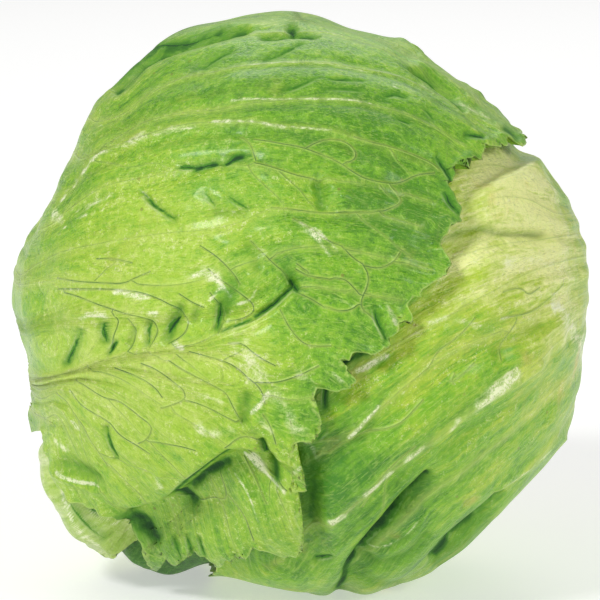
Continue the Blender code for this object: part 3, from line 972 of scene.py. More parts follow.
def leafFinish(name, look):
    paint = Paint(name)
    place = paint.place
    across = paint.field("across")
    along = paint.field("along")
    rib = paint.field("rib")
    light = paint.field("light")
    inward = paint.field("inward")

    streakPlace = paint.node("ShaderNodeCombineXYZ", {}, {
        0: across + along * 0.11, 1: along * 1.1 + across * 0.06, 2: 0.37})
    streak = paint.noise(streakPlace, look["streaks"], 3.0, 0.62)
    fineStreak = paint.noise(streakPlace, look["streaks"] * 5.0, 2.0, 0.6)
    cloud = paint.noise(place, 38.0, 3.0, 0.55)
    mottle = paint.noise(place, 170.0, 3.0, 0.6)
    pebble = paint.noise(place, 620.0, 2.0, 0.55)
    grain = paint.noise(place, 2300.0, 2.0, 0.7)

    dark = paint.field("dark") * paint.band(mottle, 0.34, 0.62, 0.70, 1.20)
    hair = paint.noise(streakPlace, look["streaks"] * 16.0, 1.0, 0.5)
    darkHair = paint.band(hair, 0.55, 0.66) * paint.band(streak, 0.42, 0.60)
    paleHair = paint.band(hair, 0.45, 0.34) * paint.band(streak, 0.60, 0.44)
    worn = paint.band(paint.noise(place, 110.0, 2.0, 0.6), 0.36, 0.60, 0.35, 1.0)

    # veins: a dark line, and a pale band beside it that is both the vein's own paler colour and a
    # painted highlight on its raised ridge
    line = 0.0
    halo = 0.0
    ridge = 0.0
    for thread in ("veinFirst", "veinSecond"):
        beside, much = paint.thread(thread)
        width = look["veinWidth"]
        line = (paint.band(beside, width * 0.5, width + 0.12, 1.0, 0.0) * much * worn).most(line)
        halo = (paint.band(beside, width, 0.95, 1.0, 0.0) * much).most(halo)
        ridge = (paint.band(beside, 0.0, 0.55, 1.0, 0.0) * much).most(ridge)
    beside, much = paint.thread("veinNet")
    netLine = paint.band(beside, 0.03, 0.17, 1.0, 0.0) * much
    netHalo = paint.band(beside, 0.05, 0.60, 1.0, 0.0) * much

    tone = light + (cloud - 0.5) * look["cloud"] + (streak - 0.5) * look["streakTone"]
    tone = tone + (fineStreak - 0.5) * look["fineTone"] + (mottle - 0.5) * look["mottle"]
    tone = tone + (pebble - 0.5) * look["pebbleTone"] + (grain - 0.5) * look["grainTone"]
    freckles = paint.band(paint.dots(place, 190.0), 0.06, 0.13, 1.0, 0.0)
    freckles = freckles * paint.band(cloud, 0.52, 0.66)
    warm = paint.band(paint.noise(place, 60.0, 3.0, 0.6), 0.60, 0.78) * look["warmth"]
    # dents and creases drawn as lines: a painted shadow core, painted shade round it and a painted
    # highlight on one lip
    slitBeside, slitMuch = paint.thread("slit", True)
    slitMuch = slitMuch * paint.band(mottle, 0.34, 0.50, 0.55, 1.0)
    aside = abs(slitBeside + (mottle - 0.5) * 1.3 + (pebble - 0.5) * 0.9) / slitMuch.most(0.1)
    core = paint.band(aside, 0.05, 0.55, 1.0, 0.0) * (slitMuch * 1.9).clamped()
    core = core * paint.band(pebble + (fineStreak - 0.5) * 0.6, 0.34, 0.52, 0.45, 1.0)
    cheek = paint.band(aside, 0.20, 1.70, 1.0, 0.0) * (slitMuch * 1.5).clamped()
    paintedLipHighlight = paint.band(slitBeside, -1.5, -0.9) * paint.band(slitBeside, -0.8, -0.5, 1.0, 0.0)
    # painted highlights, broken up into speckle
    highlightSpeckle = paint.band(grain + (fineStreak - 0.5) * 0.6 + (pebble - 0.5) * 0.6, 0.38, 0.62)
    paintedHighlightMask = paint.field("glow") + (mottle - 0.5) * 1.1 + (fineStreak - 0.5) * 0.7
    glow = paint.band(paintedHighlightMask, 0.22, 1.05) * (0.35 + highlightSpeckle)
    # painted glints scattered over the lighter parts
    paintedGlints = paint.band(grain + (pebble - 0.5) * 0.8, 0.60, 0.74) * paint.band(streak, 0.42, 0.60)
    paintedGlints = paintedGlints * paint.band(light, 0.14, 0.40, 0.25, 1.0)
    rim = paint.band(inward, 0.10, 0.7, 0.60, 0.0) * (0.35 + mottle)
    colour = paint.layered(paint.ramp(tone.clamped(), look["stops"]), [
        (darkHair * look["hair"], look["veinColour"]),
        (paleHair * look["hair"] * 1.3, look["haloColour"]),
        (rib * look["ribTone"], look["ribColour"]),
        (halo * look["halo"], look["haloColour"]),
        (netHalo * look["halo"] * 0.5, look["haloColour"]),
        (netLine * look["netTone"], look["veinColour"]),
        (line * look["veinTone"], look["veinColour"]),
        (freckles * 0.55, look["freckleColour"]),
        (warm, look["warmColour"]),
        (paintedGlints * look["paintedGlints"], look["glowColour"]),
        (glow, look["glowColour"]),
        (rim, look["rimColour"]),
        (paintedLipHighlight * slitMuch * mottle, look["glowColour"]),
        # painted shade, and the painted shadow in the deepest creases
        (dark * 1.5 + cheek * 0.9, look["shadeColour"]),
        (dark * 2.2 - 1.1 + core * 1.1, look["paintedDeepShadeColour"]),
    ])

    height = ridge * 0.30 - line * 0.05 + netHalo * 0.04 - darkHair * 0.05 + paleHair * 0.05
    height = height + (fineStreak - 0.5) * look["streakBump"] + (streak - 0.5) * 0.45
    height = height + (pebble - 0.5) * look["pebble"] + (grain - 0.5) * look["grain"]
    height = height + (mottle - 0.5) * look["mottleBump"]
    hollow = (dark * 1.5 + cheek).clamped()
    rough = look["roughness"] + (mottle - 0.5) * 0.25 + (grain - 0.5) * 0.16 + hollow * 0.4
    paint.set(colour=colour, roughness=rough.clamped(), normal=paint.bump(height),
              depth=look["depth"], depthScale=0.003, depthRadius=(0.6, 1.0, 0.25),
              ior=1.45, coat=(1.0 - hollow) * look["coat"], coatRoughness=0.16)
    return paint.material


# Colours are linear. The stops run from the deepest green to the palest part of a leaf.
greenLook = {
    "stops": [(0.0, (0.075, 0.260, 0.004)), (0.28, (0.190, 0.440, 0.012)),
              (0.62, (0.370, 0.580, 0.034)), (1.0, (0.560, 0.700, 0.140))],
    "ribColour": (0.560, 0.670, 0.130),
    "haloColour": (0.540, 0.720, 0.150),
    "veinColour": (0.040, 0.150, 0.014),
    "freckleColour": (0.220, 0.150, 0.030),
    "warmColour": (0.560, 0.500, 0.110),
    "glowColour": (0.840, 0.890, 0.560),
    "rimColour": (0.540, 0.720, 0.180),
    "shadeColour": (0.064, 0.245, 0.010),
    "paintedDeepShadeColour": (0.008, 0.070, 0.008),
    "veinWidth": 0.13, "veinTone": 0.80, "netTone": 0.26, "halo": 0.40, "ribTone": 0.50,
    "streaks": 2.4, "streakTone": 0.80, "fineTone": 0.62, "pebbleTone": 0.70,
    "grainTone": 0.60, "paintedGlints": 0.42, "cloud": 0.38, "mottle": 0.42,
    "streakBump": 0.42, "mottleBump": 0.40, "pebble": 0.42, "grain": 0.22, "roughness": 0.33,
    "warmth": 0.16, "depth": 0.10, "coat": 0.12, "hair": 0.26,
}
paleLook = {
    **greenLook,
    "stops": [(0.0, (0.055, 0.240, 0.004)), (0.32, (0.200, 0.460, 0.010)),
              (0.62, (0.440, 0.600, 0.036)), (1.0, (0.840, 0.880, 0.340))],
    "ribColour": (0.700, 0.740, 0.200),
    "warmColour": (0.740, 0.520, 0.140),
    "veinTone": 0.45, "netTone": 0.18, "streakTone": 0.95, "warmth": 0.45,
    "pebbleTone": 0.30, "grainTone": 0.25, "mottle": 0.32, "hair": 0.22, "fineTone": 0.80,
}
whiteLook = {
    **paleLook,
    "stops": [(0.0, (0.140, 0.340, 0.012)), (0.40, (0.360, 0.560, 0.060)),
              (0.75, (0.600, 0.740, 0.240)), (1.0, (0.820, 0.870, 0.560))],
    "ribColour": (0.860, 0.880, 0.700), "ribTone": 0.75, "warmth": 0.10,
}
# the leaf that lies under the head: its colours are darkened as painted shade
shadedLook = {
    **greenLook,
    "stops": [(0.0, (0.020, 0.090, 0.006)), (0.40, (0.050, 0.190, 0.012)),
              (0.80, (0.160, 0.380, 0.050)), (1.0, (0.480, 0.640, 0.240))],
    "ribColour": (0.300, 0.480, 0.120), "rimColour": (0.080, 0.240, 0.020),
    "glowColour": (0.260, 0.440, 0.080), "haloColour": (0.160, 0.360, 0.040),
    "warmColour": (0.140, 0.110, 0.020), "warmth": 0.50, "roughness": 0.50, "coat": 0.04,
}

leftLeaf = {
    "name": "left", "node": "wrapper_leaf_left", "slot": "wrapper_leaf_green",
    "middle": (155, 152),
    "midrib": [(166, 12), (176, 40), (187, 70), (191, 92)],
    "runs": 1,
    "cells": 288, "every": 4,
    "crimp": 0.00032, "ribLift": 0.0011, "swell": 0.0005, "lumps": 0.00045, "puff": 0.00050,
    "teeth": 0.0026,
    "light": 0.36, "paleBase": 0.35,
    "sideLength": 0.030, "sideEvery": (1.8, 3.2), "fillTries": 5200, "fillGap": 0.0030,
    "edgePx": [
        (470, 88), (480, 97), (487, 101), (494, 103), (496, 114), (505, 122), (515, 133),
        (521, 148), (491, 147), (480, 150), (477, 156), (468, 165), (457, 172),
        (450, 182), (446, 190), (448, 199), (455, 214), (461, 222), (451, 228), (443, 237),
        (440, 246), (445, 258), (446, 277), (434, 281), (418, 288), (419, 294), (410, 305),
        (409, 317), (396, 322), (384, 337), (389, 344), (381, 351), (369, 351), (352, 355),
        (341, 360), (345, 368), (350, 375), (349, 386), (334, 389), (318, 390), (317, 401),
        (321, 414), (323, 432), (318, 441), (305, 444), (290, 451), (295, 462), (301, 471),
        (302, 486), (292, 494), (296, 504), (291, 512), (297, 520), (303, 531), (302, 544),
        (295, 550), (279, 553), (262, 547), (252, 546), (246, 552), (234, 553), (224, 553),
        (217, 563), (210, 556), (200, 556), (186, 553), (176, 561), (160, 568), (155, 558),
        (152, 550), (146, 540), (128, 530), (108, 518), (95, 509), (78, 498), (64, 483), (55, 466),
        (48, 446), (43, 424), (38, 402),
    ],
    "edgeBehind": [(206, 76), (214, 60), (221, 44), (225, 26), (225, 14), (85, 14), (92, 28),
                   (96, 44), (86, 62), (66, 78)],
    "ribs": [
        [(118, 96), (150, 60), (206, 41), (258, 35), (330, 36), (400, 60), (450, 92)],
        [(103, 130), (160, 90), (181, 79), (215, 74), (249, 67), (284, 65), (330, 65), (400, 78),
         (450, 102), (486, 132)],
        [(88, 168), (130, 130), (180, 115), (232, 111), (258, 105), (284, 101), (330, 100),
         (375, 106), (420, 122), (462, 148)],
        [(62, 208), (94, 158), (129, 144), (163, 132), (189, 125), (215, 123), (249, 124),
         (284, 126), (330, 130), (385, 150), (440, 172)],
        [(45, 238), (90, 195), (150, 178), (215, 165), (260, 168), (280, 174), (312, 178),
         (370, 184), (430, 204)],
        [(24, 280), (42, 262), (98, 244), (130, 239), (169, 233), (200, 232), (235, 226),
         (267, 209), (311, 210), (328, 214), (376, 215), (420, 228)],
        [(20, 288), (60, 280), (114, 281), (163, 287), (200, 281), (250, 262), (300, 246),
         (350, 250), (400, 262), (428, 270)],
        [(30, 374), (66, 374), (90, 365), (114, 357), (146, 352), (177, 347), (201, 343),
         (217, 333), (233, 328), (260, 319), (284, 296), (300, 284), (350, 292), (400, 300)],
        [(32, 378), (66, 376), (100, 366), (150, 356), (200, 352), (240, 362), (263, 392),
         (290, 400), (312, 396)],
        [(34, 382), (85, 366), (125, 378), (175, 410), (228, 443), (258, 470), (284, 500),
         (296, 530)],
        [(38, 392), (75, 378), (110, 400), (150, 440), (182, 470), (212, 500), (236, 545)],
        [(42, 402), (66, 386), (78, 412), (100, 450), (120, 472), (150, 500), (180, 545)],
        [(46, 420), (60, 410), (70, 432), (88, 470), (112, 500), (150, 550)],
    ],
    "veins": [
        [(255, 141), (278, 144), (307, 149), (337, 161), (354, 172), (368, 181), (387, 185),
         (402, 183), (414, 176), (433, 174)],
        [(307, 148), (320, 141), (331, 139), (345, 141), (354, 149), (356, 157), (351, 162),
         (342, 163)],
        [(354, 138), (373, 144), (395, 149), (414, 155), (431, 164), (437, 170)],
        [(389, 187), (398, 197), (400, 203), (393, 208), (377, 214), (354, 212), (316, 212),
         (272, 208)],
        [(255, 164), (272, 168), (293, 175), (314, 177)],
        [(241, 138), (251, 145), (256, 161)],
        [(362, 264), (368, 275), (367, 287), (362, 296), (360, 308), (372, 317), (377, 327),
         (382, 337)],
        [(170, 360), (180, 367), (194, 374), (206, 381), (218, 388), (227, 393), (232, 403),
         (241, 422)],
        [(191, 351), (208, 356), (225, 361), (237, 367), (248, 377), (258, 384), (263, 393),
         (265, 403)],
        [(115, 368), (134, 374), (149, 381), (158, 388), (163, 396)],
        [(143, 363), (156, 368), (170, 379), (180, 386), (185, 391), (185, 400), (170, 405),
         (162, 407)],
        [(185, 400), (198, 403), (211, 408), (223, 415), (242, 424)],
        [(77, 379), (89, 388), (103, 398), (118, 401), (129, 409), (139, 417), (153, 425),
         (151, 433), (146, 440), (139, 443)],
        [(73, 389), (82, 403), (96, 413), (110, 422), (120, 434), (136, 444), (150, 453)],
        [(60, 391), (68, 398), (75, 410), (86, 424), (91, 436), (100, 450), (108, 465)],
        [(148, 440), (167, 442), (184, 444), (196, 448)],
        [(60, 278), (82, 282), (106, 283), (126, 284), (137, 278), (151, 272)],
        [(60, 289), (86, 289), (112, 289), (136, 291), (153, 296), (167, 303), (177, 308),
         (184, 315), (189, 322), (187, 331), (180, 338), (170, 343)],
        [(60, 291), (81, 296), (96, 303), (117, 310), (129, 314), (143, 317), (155, 322),
         (159, 329), (156, 338), (151, 346)],
        [(112, 310), (119, 319), (119, 327), (115, 336), (110, 351)],
        [(129, 319), (136, 327), (136, 338), (132, 346), (129, 351)],
        [(208, 269), (222, 281), (237, 291), (246, 298), (252, 305), (252, 312), (242, 319),
         (230, 321), (224, 322)],
        [(201, 246), (215, 255), (225, 264), (234, 274), (239, 283)],
        [(251, 241), (263, 253), (275, 265), (284, 272), (289, 283)],
        [(210, 293), (218, 303), (222, 314), (221, 326), (218, 333)],
        [(179, 294), (191, 302), (203, 307)],
        [(280, 310), (287, 324), (294, 334), (303, 343), (313, 346), (330, 345)],
        [(294, 291), (310, 298), (324, 307)],
        [(296, 269), (308, 276), (330, 279)],
        [(253, 381), (272, 383), (289, 379), (305, 372), (318, 365)],
        [(225, 448), (234, 441), (242, 436), (253, 437), (261, 443), (268, 453)],
        [(263, 413), (272, 427), (276, 441)],
        [(229, 343), (243, 343), (253, 352), (265, 360), (275, 365)],
        [(98, 259), (117, 259), (134, 263)],
        [(341, 246), (355, 260), (369, 268), (383, 268), (395, 260), (399, 253)],
        [(297, 264), (311, 274), (324, 278), (343, 278), (352, 286), (362, 298)],
        [(297, 293), (319, 303), (336, 311), (352, 310), (362, 300)],
        [(293, 219), (314, 231), (328, 241), (340, 246)],
        [(228, 452), (245, 464), (259, 474), (273, 484), (286, 490)],
        [(240, 469), (250, 483), (262, 500), (266, 505)],
        [(211, 479), (217, 490), (223, 503), (221, 510)],
        [(166, 512), (180, 515), (193, 516), (204, 512), (221, 510)],
        [(224, 505), (236, 512), (245, 521), (254, 538)],
    ],
    # path, half width (pixels), height (metres, below zero for a dent), painted shade
    "strokes": [
        ([(83, 331), (68, 362)], 4.2, -0.0005, 0.62),
        ([(106, 324), (107, 340)], 4.2, -0.0006, 0.62),
        ([(117, 342), (109, 353)], 2.6, -0.0007, 0.50),
        ([(135, 330), (130, 346)], 3.6, -0.0008, 0.30),
        ([(150, 323), (148, 343)], 3.8, -0.0010, 0.45),
        ([(179, 309), (168, 337)], 6.8, -0.0017, 0.45),
        ([(177, 318), (168, 332)], 2.2, -0.0005, 0.80),
        ([(196, 310), (194, 318)], 4.2, -0.0007, 0.35),
        ([(219, 304), (216, 328)], 4.2, -0.0009, 0.50),
        ([(222, 331), (250, 320)], 2.4, -0.0006, 0.40),
        ([(254, 317), (275, 303), (294, 284)], 3.0, -0.0008, 0.62),
        ([(290, 280), (297, 290)], 4.0, -0.0008, 0.70),
        ([(256, 309), (275, 296), (284, 287)], 3.2, 0.0008, 0.0),
        ([(224, 338), (250, 328), (276, 314), (296, 294)], 4.0, 0.0008, 0.0),
        ([(247, 396), (243, 421)], 5.6, -0.0011, 0.42),
        ([(260, 398), (262, 416), (250, 428)], 4.0, 0.0008, 0.0),
        ([(107, 427), (117, 457)], 2.6, -0.0009, 0.46),
        ([(68, 462), (84, 470), (96, 478)], 7.0, -0.0014, 0.42),
        ([(72, 470), (90, 479)], 3.0, -0.0005, 0.30),
        ([(62, 470), (84, 484), (100, 491)], 3.4, 0.0009, 0.0),
        ([(181, 167), (193, 167)], 2.6, -0.0006, 0.70),
        ([(196, 168), (216, 163)], 4.2, -0.0008, 0.90),
        ([(226, 164), (234, 158), (243, 157)], 3.4, -0.0007, 0.95),
        ([(200, 178), (240, 174)], 7.0, 0.0004, 0.0),
        ([(144, 194), (155, 206), (176, 220)], 3.0, -0.0008, 0.44),
        ([(146, 184), (162, 200), (186, 214)], 6.0, 0.0004, 0.0),
        ([(217, 213), (241, 213)], 5.0, -0.0005, 0.28),
        ([(318, 180), (322, 204)], 4.6, -0.0015, 0.45),
        ([(328, 180), (341, 192), (345, 207)], 5.0, 0.0013, 0.0),
        ([(366, 199), (376, 206), (377, 213)], 4.0, 0.0008, 0.0),
        ([(117, 92), (132, 80), (143, 65), (156, 55), (170, 52), (181, 49), (206, 41), (232, 34),
          (246, 32)], 3.4, -0.0013, 0.62),
        ([(112, 88), (127, 73), (141, 60), (158, 50), (182, 44), (206, 37), (232, 31)], 3.4,
         -0.0001, 0.64),
        ([(291, 29), (293, 34)], 4.4, -0.0014, 1.00),
        ([(264, 39), (280, 39)], 2.8, -0.0003, 0.70),
        ([(298, 37), (314, 40)], 2.8, -0.0003, 0.75),
        ([(204, 68), (218, 60), (232, 54)], 3.4, -0.0004, 0.42),
        ([(264, 60), (282, 56), (302, 47)], 2.8, -0.0004, 0.48),
        ([(282, 92), (300, 87), (315, 81)], 2.2, -0.0003, 0.42),
        ([(330, 82), (362, 83)], 2.2, -0.0003, 0.44),
        ([(326, 90), (362, 92)], 2.2, -0.0003, 0.40),
        ([(262, 39), (290, 37), (315, 40)], 2.8, -0.0010, 0.45),
        ([(413, 72), (431, 79), (443, 89), (455, 100), (464, 110)], 2.8, -0.0013, 0.50),
        ([(418, 66), (446, 80), (470, 102)], 5.0, 0.0008, 0.0),
        ([(384, 310), (387, 334)], 6.5, 0.0014, 0.0),
        ([(262, 442), (271, 466)], 3.8, -0.0022, 0.70),
        ([(221, 474), (200, 485), (184, 499)], 7.0, -0.0010, 0.85),
        ([(170, 504), (186, 518)], 6.5, -0.0016, 1.00),
        ([(108, 526), (126, 526), (154, 544)], 6.0, -0.0016, 0.90),
        ([(272, 458), (276, 484)], 5.0, -0.0012, 0.62),
        ([(268, 461), (228, 454), (206, 467), (180, 487), (165, 504), (135, 511), (122, 520)],
         2.4, -0.0012, 0.60),
        ([(172, 544), (182, 556)], 2.6, -0.0008, 0.45),
        ([(184, 542), (196, 558)], 2.6, -0.0008, 0.45),
        ([(198, 542), (206, 554)], 2.6, -0.0007, 0.40),
        ([(161, 474), (161, 486)], 5.0, 0.0008, 0.0),
        ([(234, 284), (227, 300), (223, 312)], 7.0, -0.0009, 0.42),
        ([(250, 246), (256, 258), (258, 268)], 6.0, -0.0006, 0.28),
        ([(286, 268), (292, 284)], 6.0, -0.0006, 0.42),
        ([(204, 194), (212, 202), (217, 206)], 3.0, -0.0005, 0.37),
        ([(230, 198), (238, 204), (248, 208)], 3.0, -0.0005, 0.38),
        ([(384, 98), (394, 96), (404, 100)], 3.0, -0.0005, 0.46),
        ([(424, 112), (432, 120)], 3.0, -0.0004, 0.40),
        ([(398, 120), (408, 124)], 2.6, -0.0004, 0.44),
        ([(438, 186), (446, 196), (447, 206)], 5.0, 0.0, 0.50),
        ([(345, 358), (366, 358)], 4.0, -0.0003, 0.0),
        ([(466, 158), (452, 172), (445, 188), (450, 206), (458, 220)], 5.5, 0.0007, 0.30),
        ([(436, 158), (446, 174), (448, 186)], 3.0, -0.0006, 0.60),
        ([(440, 196), (446, 206), (455, 216)], 3.0, -0.0005, 0.60),
        ([(374, 308), (377, 322), (384, 338)], 3.0, -0.0008, 0.48),
        ([(464, 137), (478, 142)], 3.0, -0.0008, 0.80),
        ([(502, 132), (512, 142)], 4.0, -0.0006, 0.60),
        ([(395, 236), (425, 246)], 5.0, -0.0006, 0.18),
    ],
    # place, size (pixels), how much paler (below zero, darker): painted light and painted shade as
    # well as the leaf's own paler and darker patches
    "paintedLightAndTone": [
        (240, 232, 36, 0.14), (196, 262, 42, 0.10), (250, 346, 26, 0.20), (330, 196, 22, 0.10),
        (290, 190, 22, 0.10), (236, 252, 14, -0.16), (300, 310, 36, -0.10), (350, 205, 16, -0.12),
        (225, 300, 14, -0.16), (400, 190, 40, -0.06), (286, 268, 16, -0.14), (160, 205, 26, 0.08),
        (110, 390, 120, 0.30), (130, 290, 110, 0.22), (230, 370, 70, 0.18), (75, 205, 60, -0.08),
        (200, 150, 90, 0.02), (250, 90, 120, -0.12), (390, 130, 110, -0.22), (400, 230, 70, -0.22),
        (380, 330, 60, -0.20), (250, 520, 70, 0.02), (160, 545, 50, -0.12), (300, 400, 50, -0.16),
        (150, 110, 60, -0.06), (228, 288, 26, -0.18), (200, 60, 60, -0.10), (240, 480, 40, -0.10),
    ],
    # path, half width (pixels), how much of the pale colour, painted on as a highlight
    "paintedHighlights": [
        ([(60, 210), (94, 162), (129, 147), (189, 129), (284, 130)], 3.0, 0.30),
        ([(45, 256), (98, 247), (169, 236), (232, 236)], 3.0, 0.25),
        ([(238, 345), (250, 360), (258, 374)], 17.0, 0.55),
        ([(56, 215), (62, 219)], 6.0, 0.70),
        ([(78, 212), (96, 204), (114, 196)], 4.0, 0.55),
        ([(115, 292), (132, 294), (150, 298)], 3.2, 0.95),
        ([(84, 319), (94, 314), (107, 316)], 3.4, 0.80),
        ([(150, 312), (156, 313)], 4.0, 0.70),
        ([(184, 274), (203, 270), (220, 277)], 8.0, 0.45),
        ([(206, 250), (228, 262)], 6.0, 0.30),
        ([(75, 420), (80, 428)], 2.6, 0.90),
        ([(60, 440), (68, 448)], 4.0, 0.60),
        ([(63, 468), (74, 476), (87, 482), (99, 486)], 1.3, 1.10),
        ([(203, 397), (222, 400)], 6.0, 0.55),
        ([(200, 428), (212, 434), (232, 430)], 7.0, 0.55),
        ([(160, 476), (163, 484)], 4.0, 0.55),
        ([(250, 468), (258, 476)], 5.0, 0.80),
        ([(240, 466), (262, 482), (284, 492)], 1.8, 0.80),
        ([(232, 482), (250, 500), (258, 520)], 1.5, 0.70),
        ([(300, 462), (294, 470)], 3.0, 0.80),
        ([(276, 396), (292, 420), (304, 436)], 9.0, 0.45),
        ([(262, 420), (272, 432)], 5.0, 0.45),
        ([(252, 412), (262, 402), (268, 392)], 2.4, 0.80),
        ([(298, 372), (312, 384), (318, 398)], 6.0, 0.40),
        ([(332, 372), (341, 380)], 4.0, 0.50),
        ([(210, 300), (216, 292), (222, 288)], 2.6, 0.80),
        ([(190, 276), (208, 274), (220, 282), (230, 296)], 2.0, 0.70),
        ([(238, 304), (250, 300), (256, 290)], 2.0, 0.55),
        ([(176, 343), (184, 348)], 3.2, 0.80),
        ([(300, 222), (318, 240), (330, 256)], 3.0, 0.60),
        ([(312, 226), (330, 242), (344, 262)], 2.0, 0.55),
        ([(386, 306), (392, 322)], 4.0, 0.45),
        ([(340, 300), (352, 306)], 3.0, 0.40),
        ([(140, 190), (148, 196), (154, 204)], 1.4, 0.80),
        ([(300, 228), (320, 236)], 5.0, 0.35),
        ([(120, 515), (150, 508)], 2.5, 0.35),
        ([(428, 88), (468, 108), (504, 130)], 11.0, 0.44),
        ([(393, 88), (396, 90)], 3.0, 0.70),
        ([(232, 104), (300, 100), (370, 104)], 1.5, 0.75),
        ([(250, 66), (310, 65), (370, 72)], 1.4, 0.55),
        ([(214, 122), (284, 127), (330, 131)], 1.5, 0.80),
        ([(118, 150), (150, 136), (192, 128)], 5.0, 0.42),
        ([(60, 208), (78, 182), (100, 160)], 1.2, 0.90),
        ([(64, 196), (88, 168), (112, 150)], 1.0, 0.80),
        ([(84, 154), (102, 126), (120, 108)], 1.0, 0.60),
        ([(56, 240), (72, 224), (92, 214)], 1.1, 0.70),
        ([(52, 290), (84, 290), (110, 290)], 1.2, 0.80),
    ],
    "look": greenLook,
}

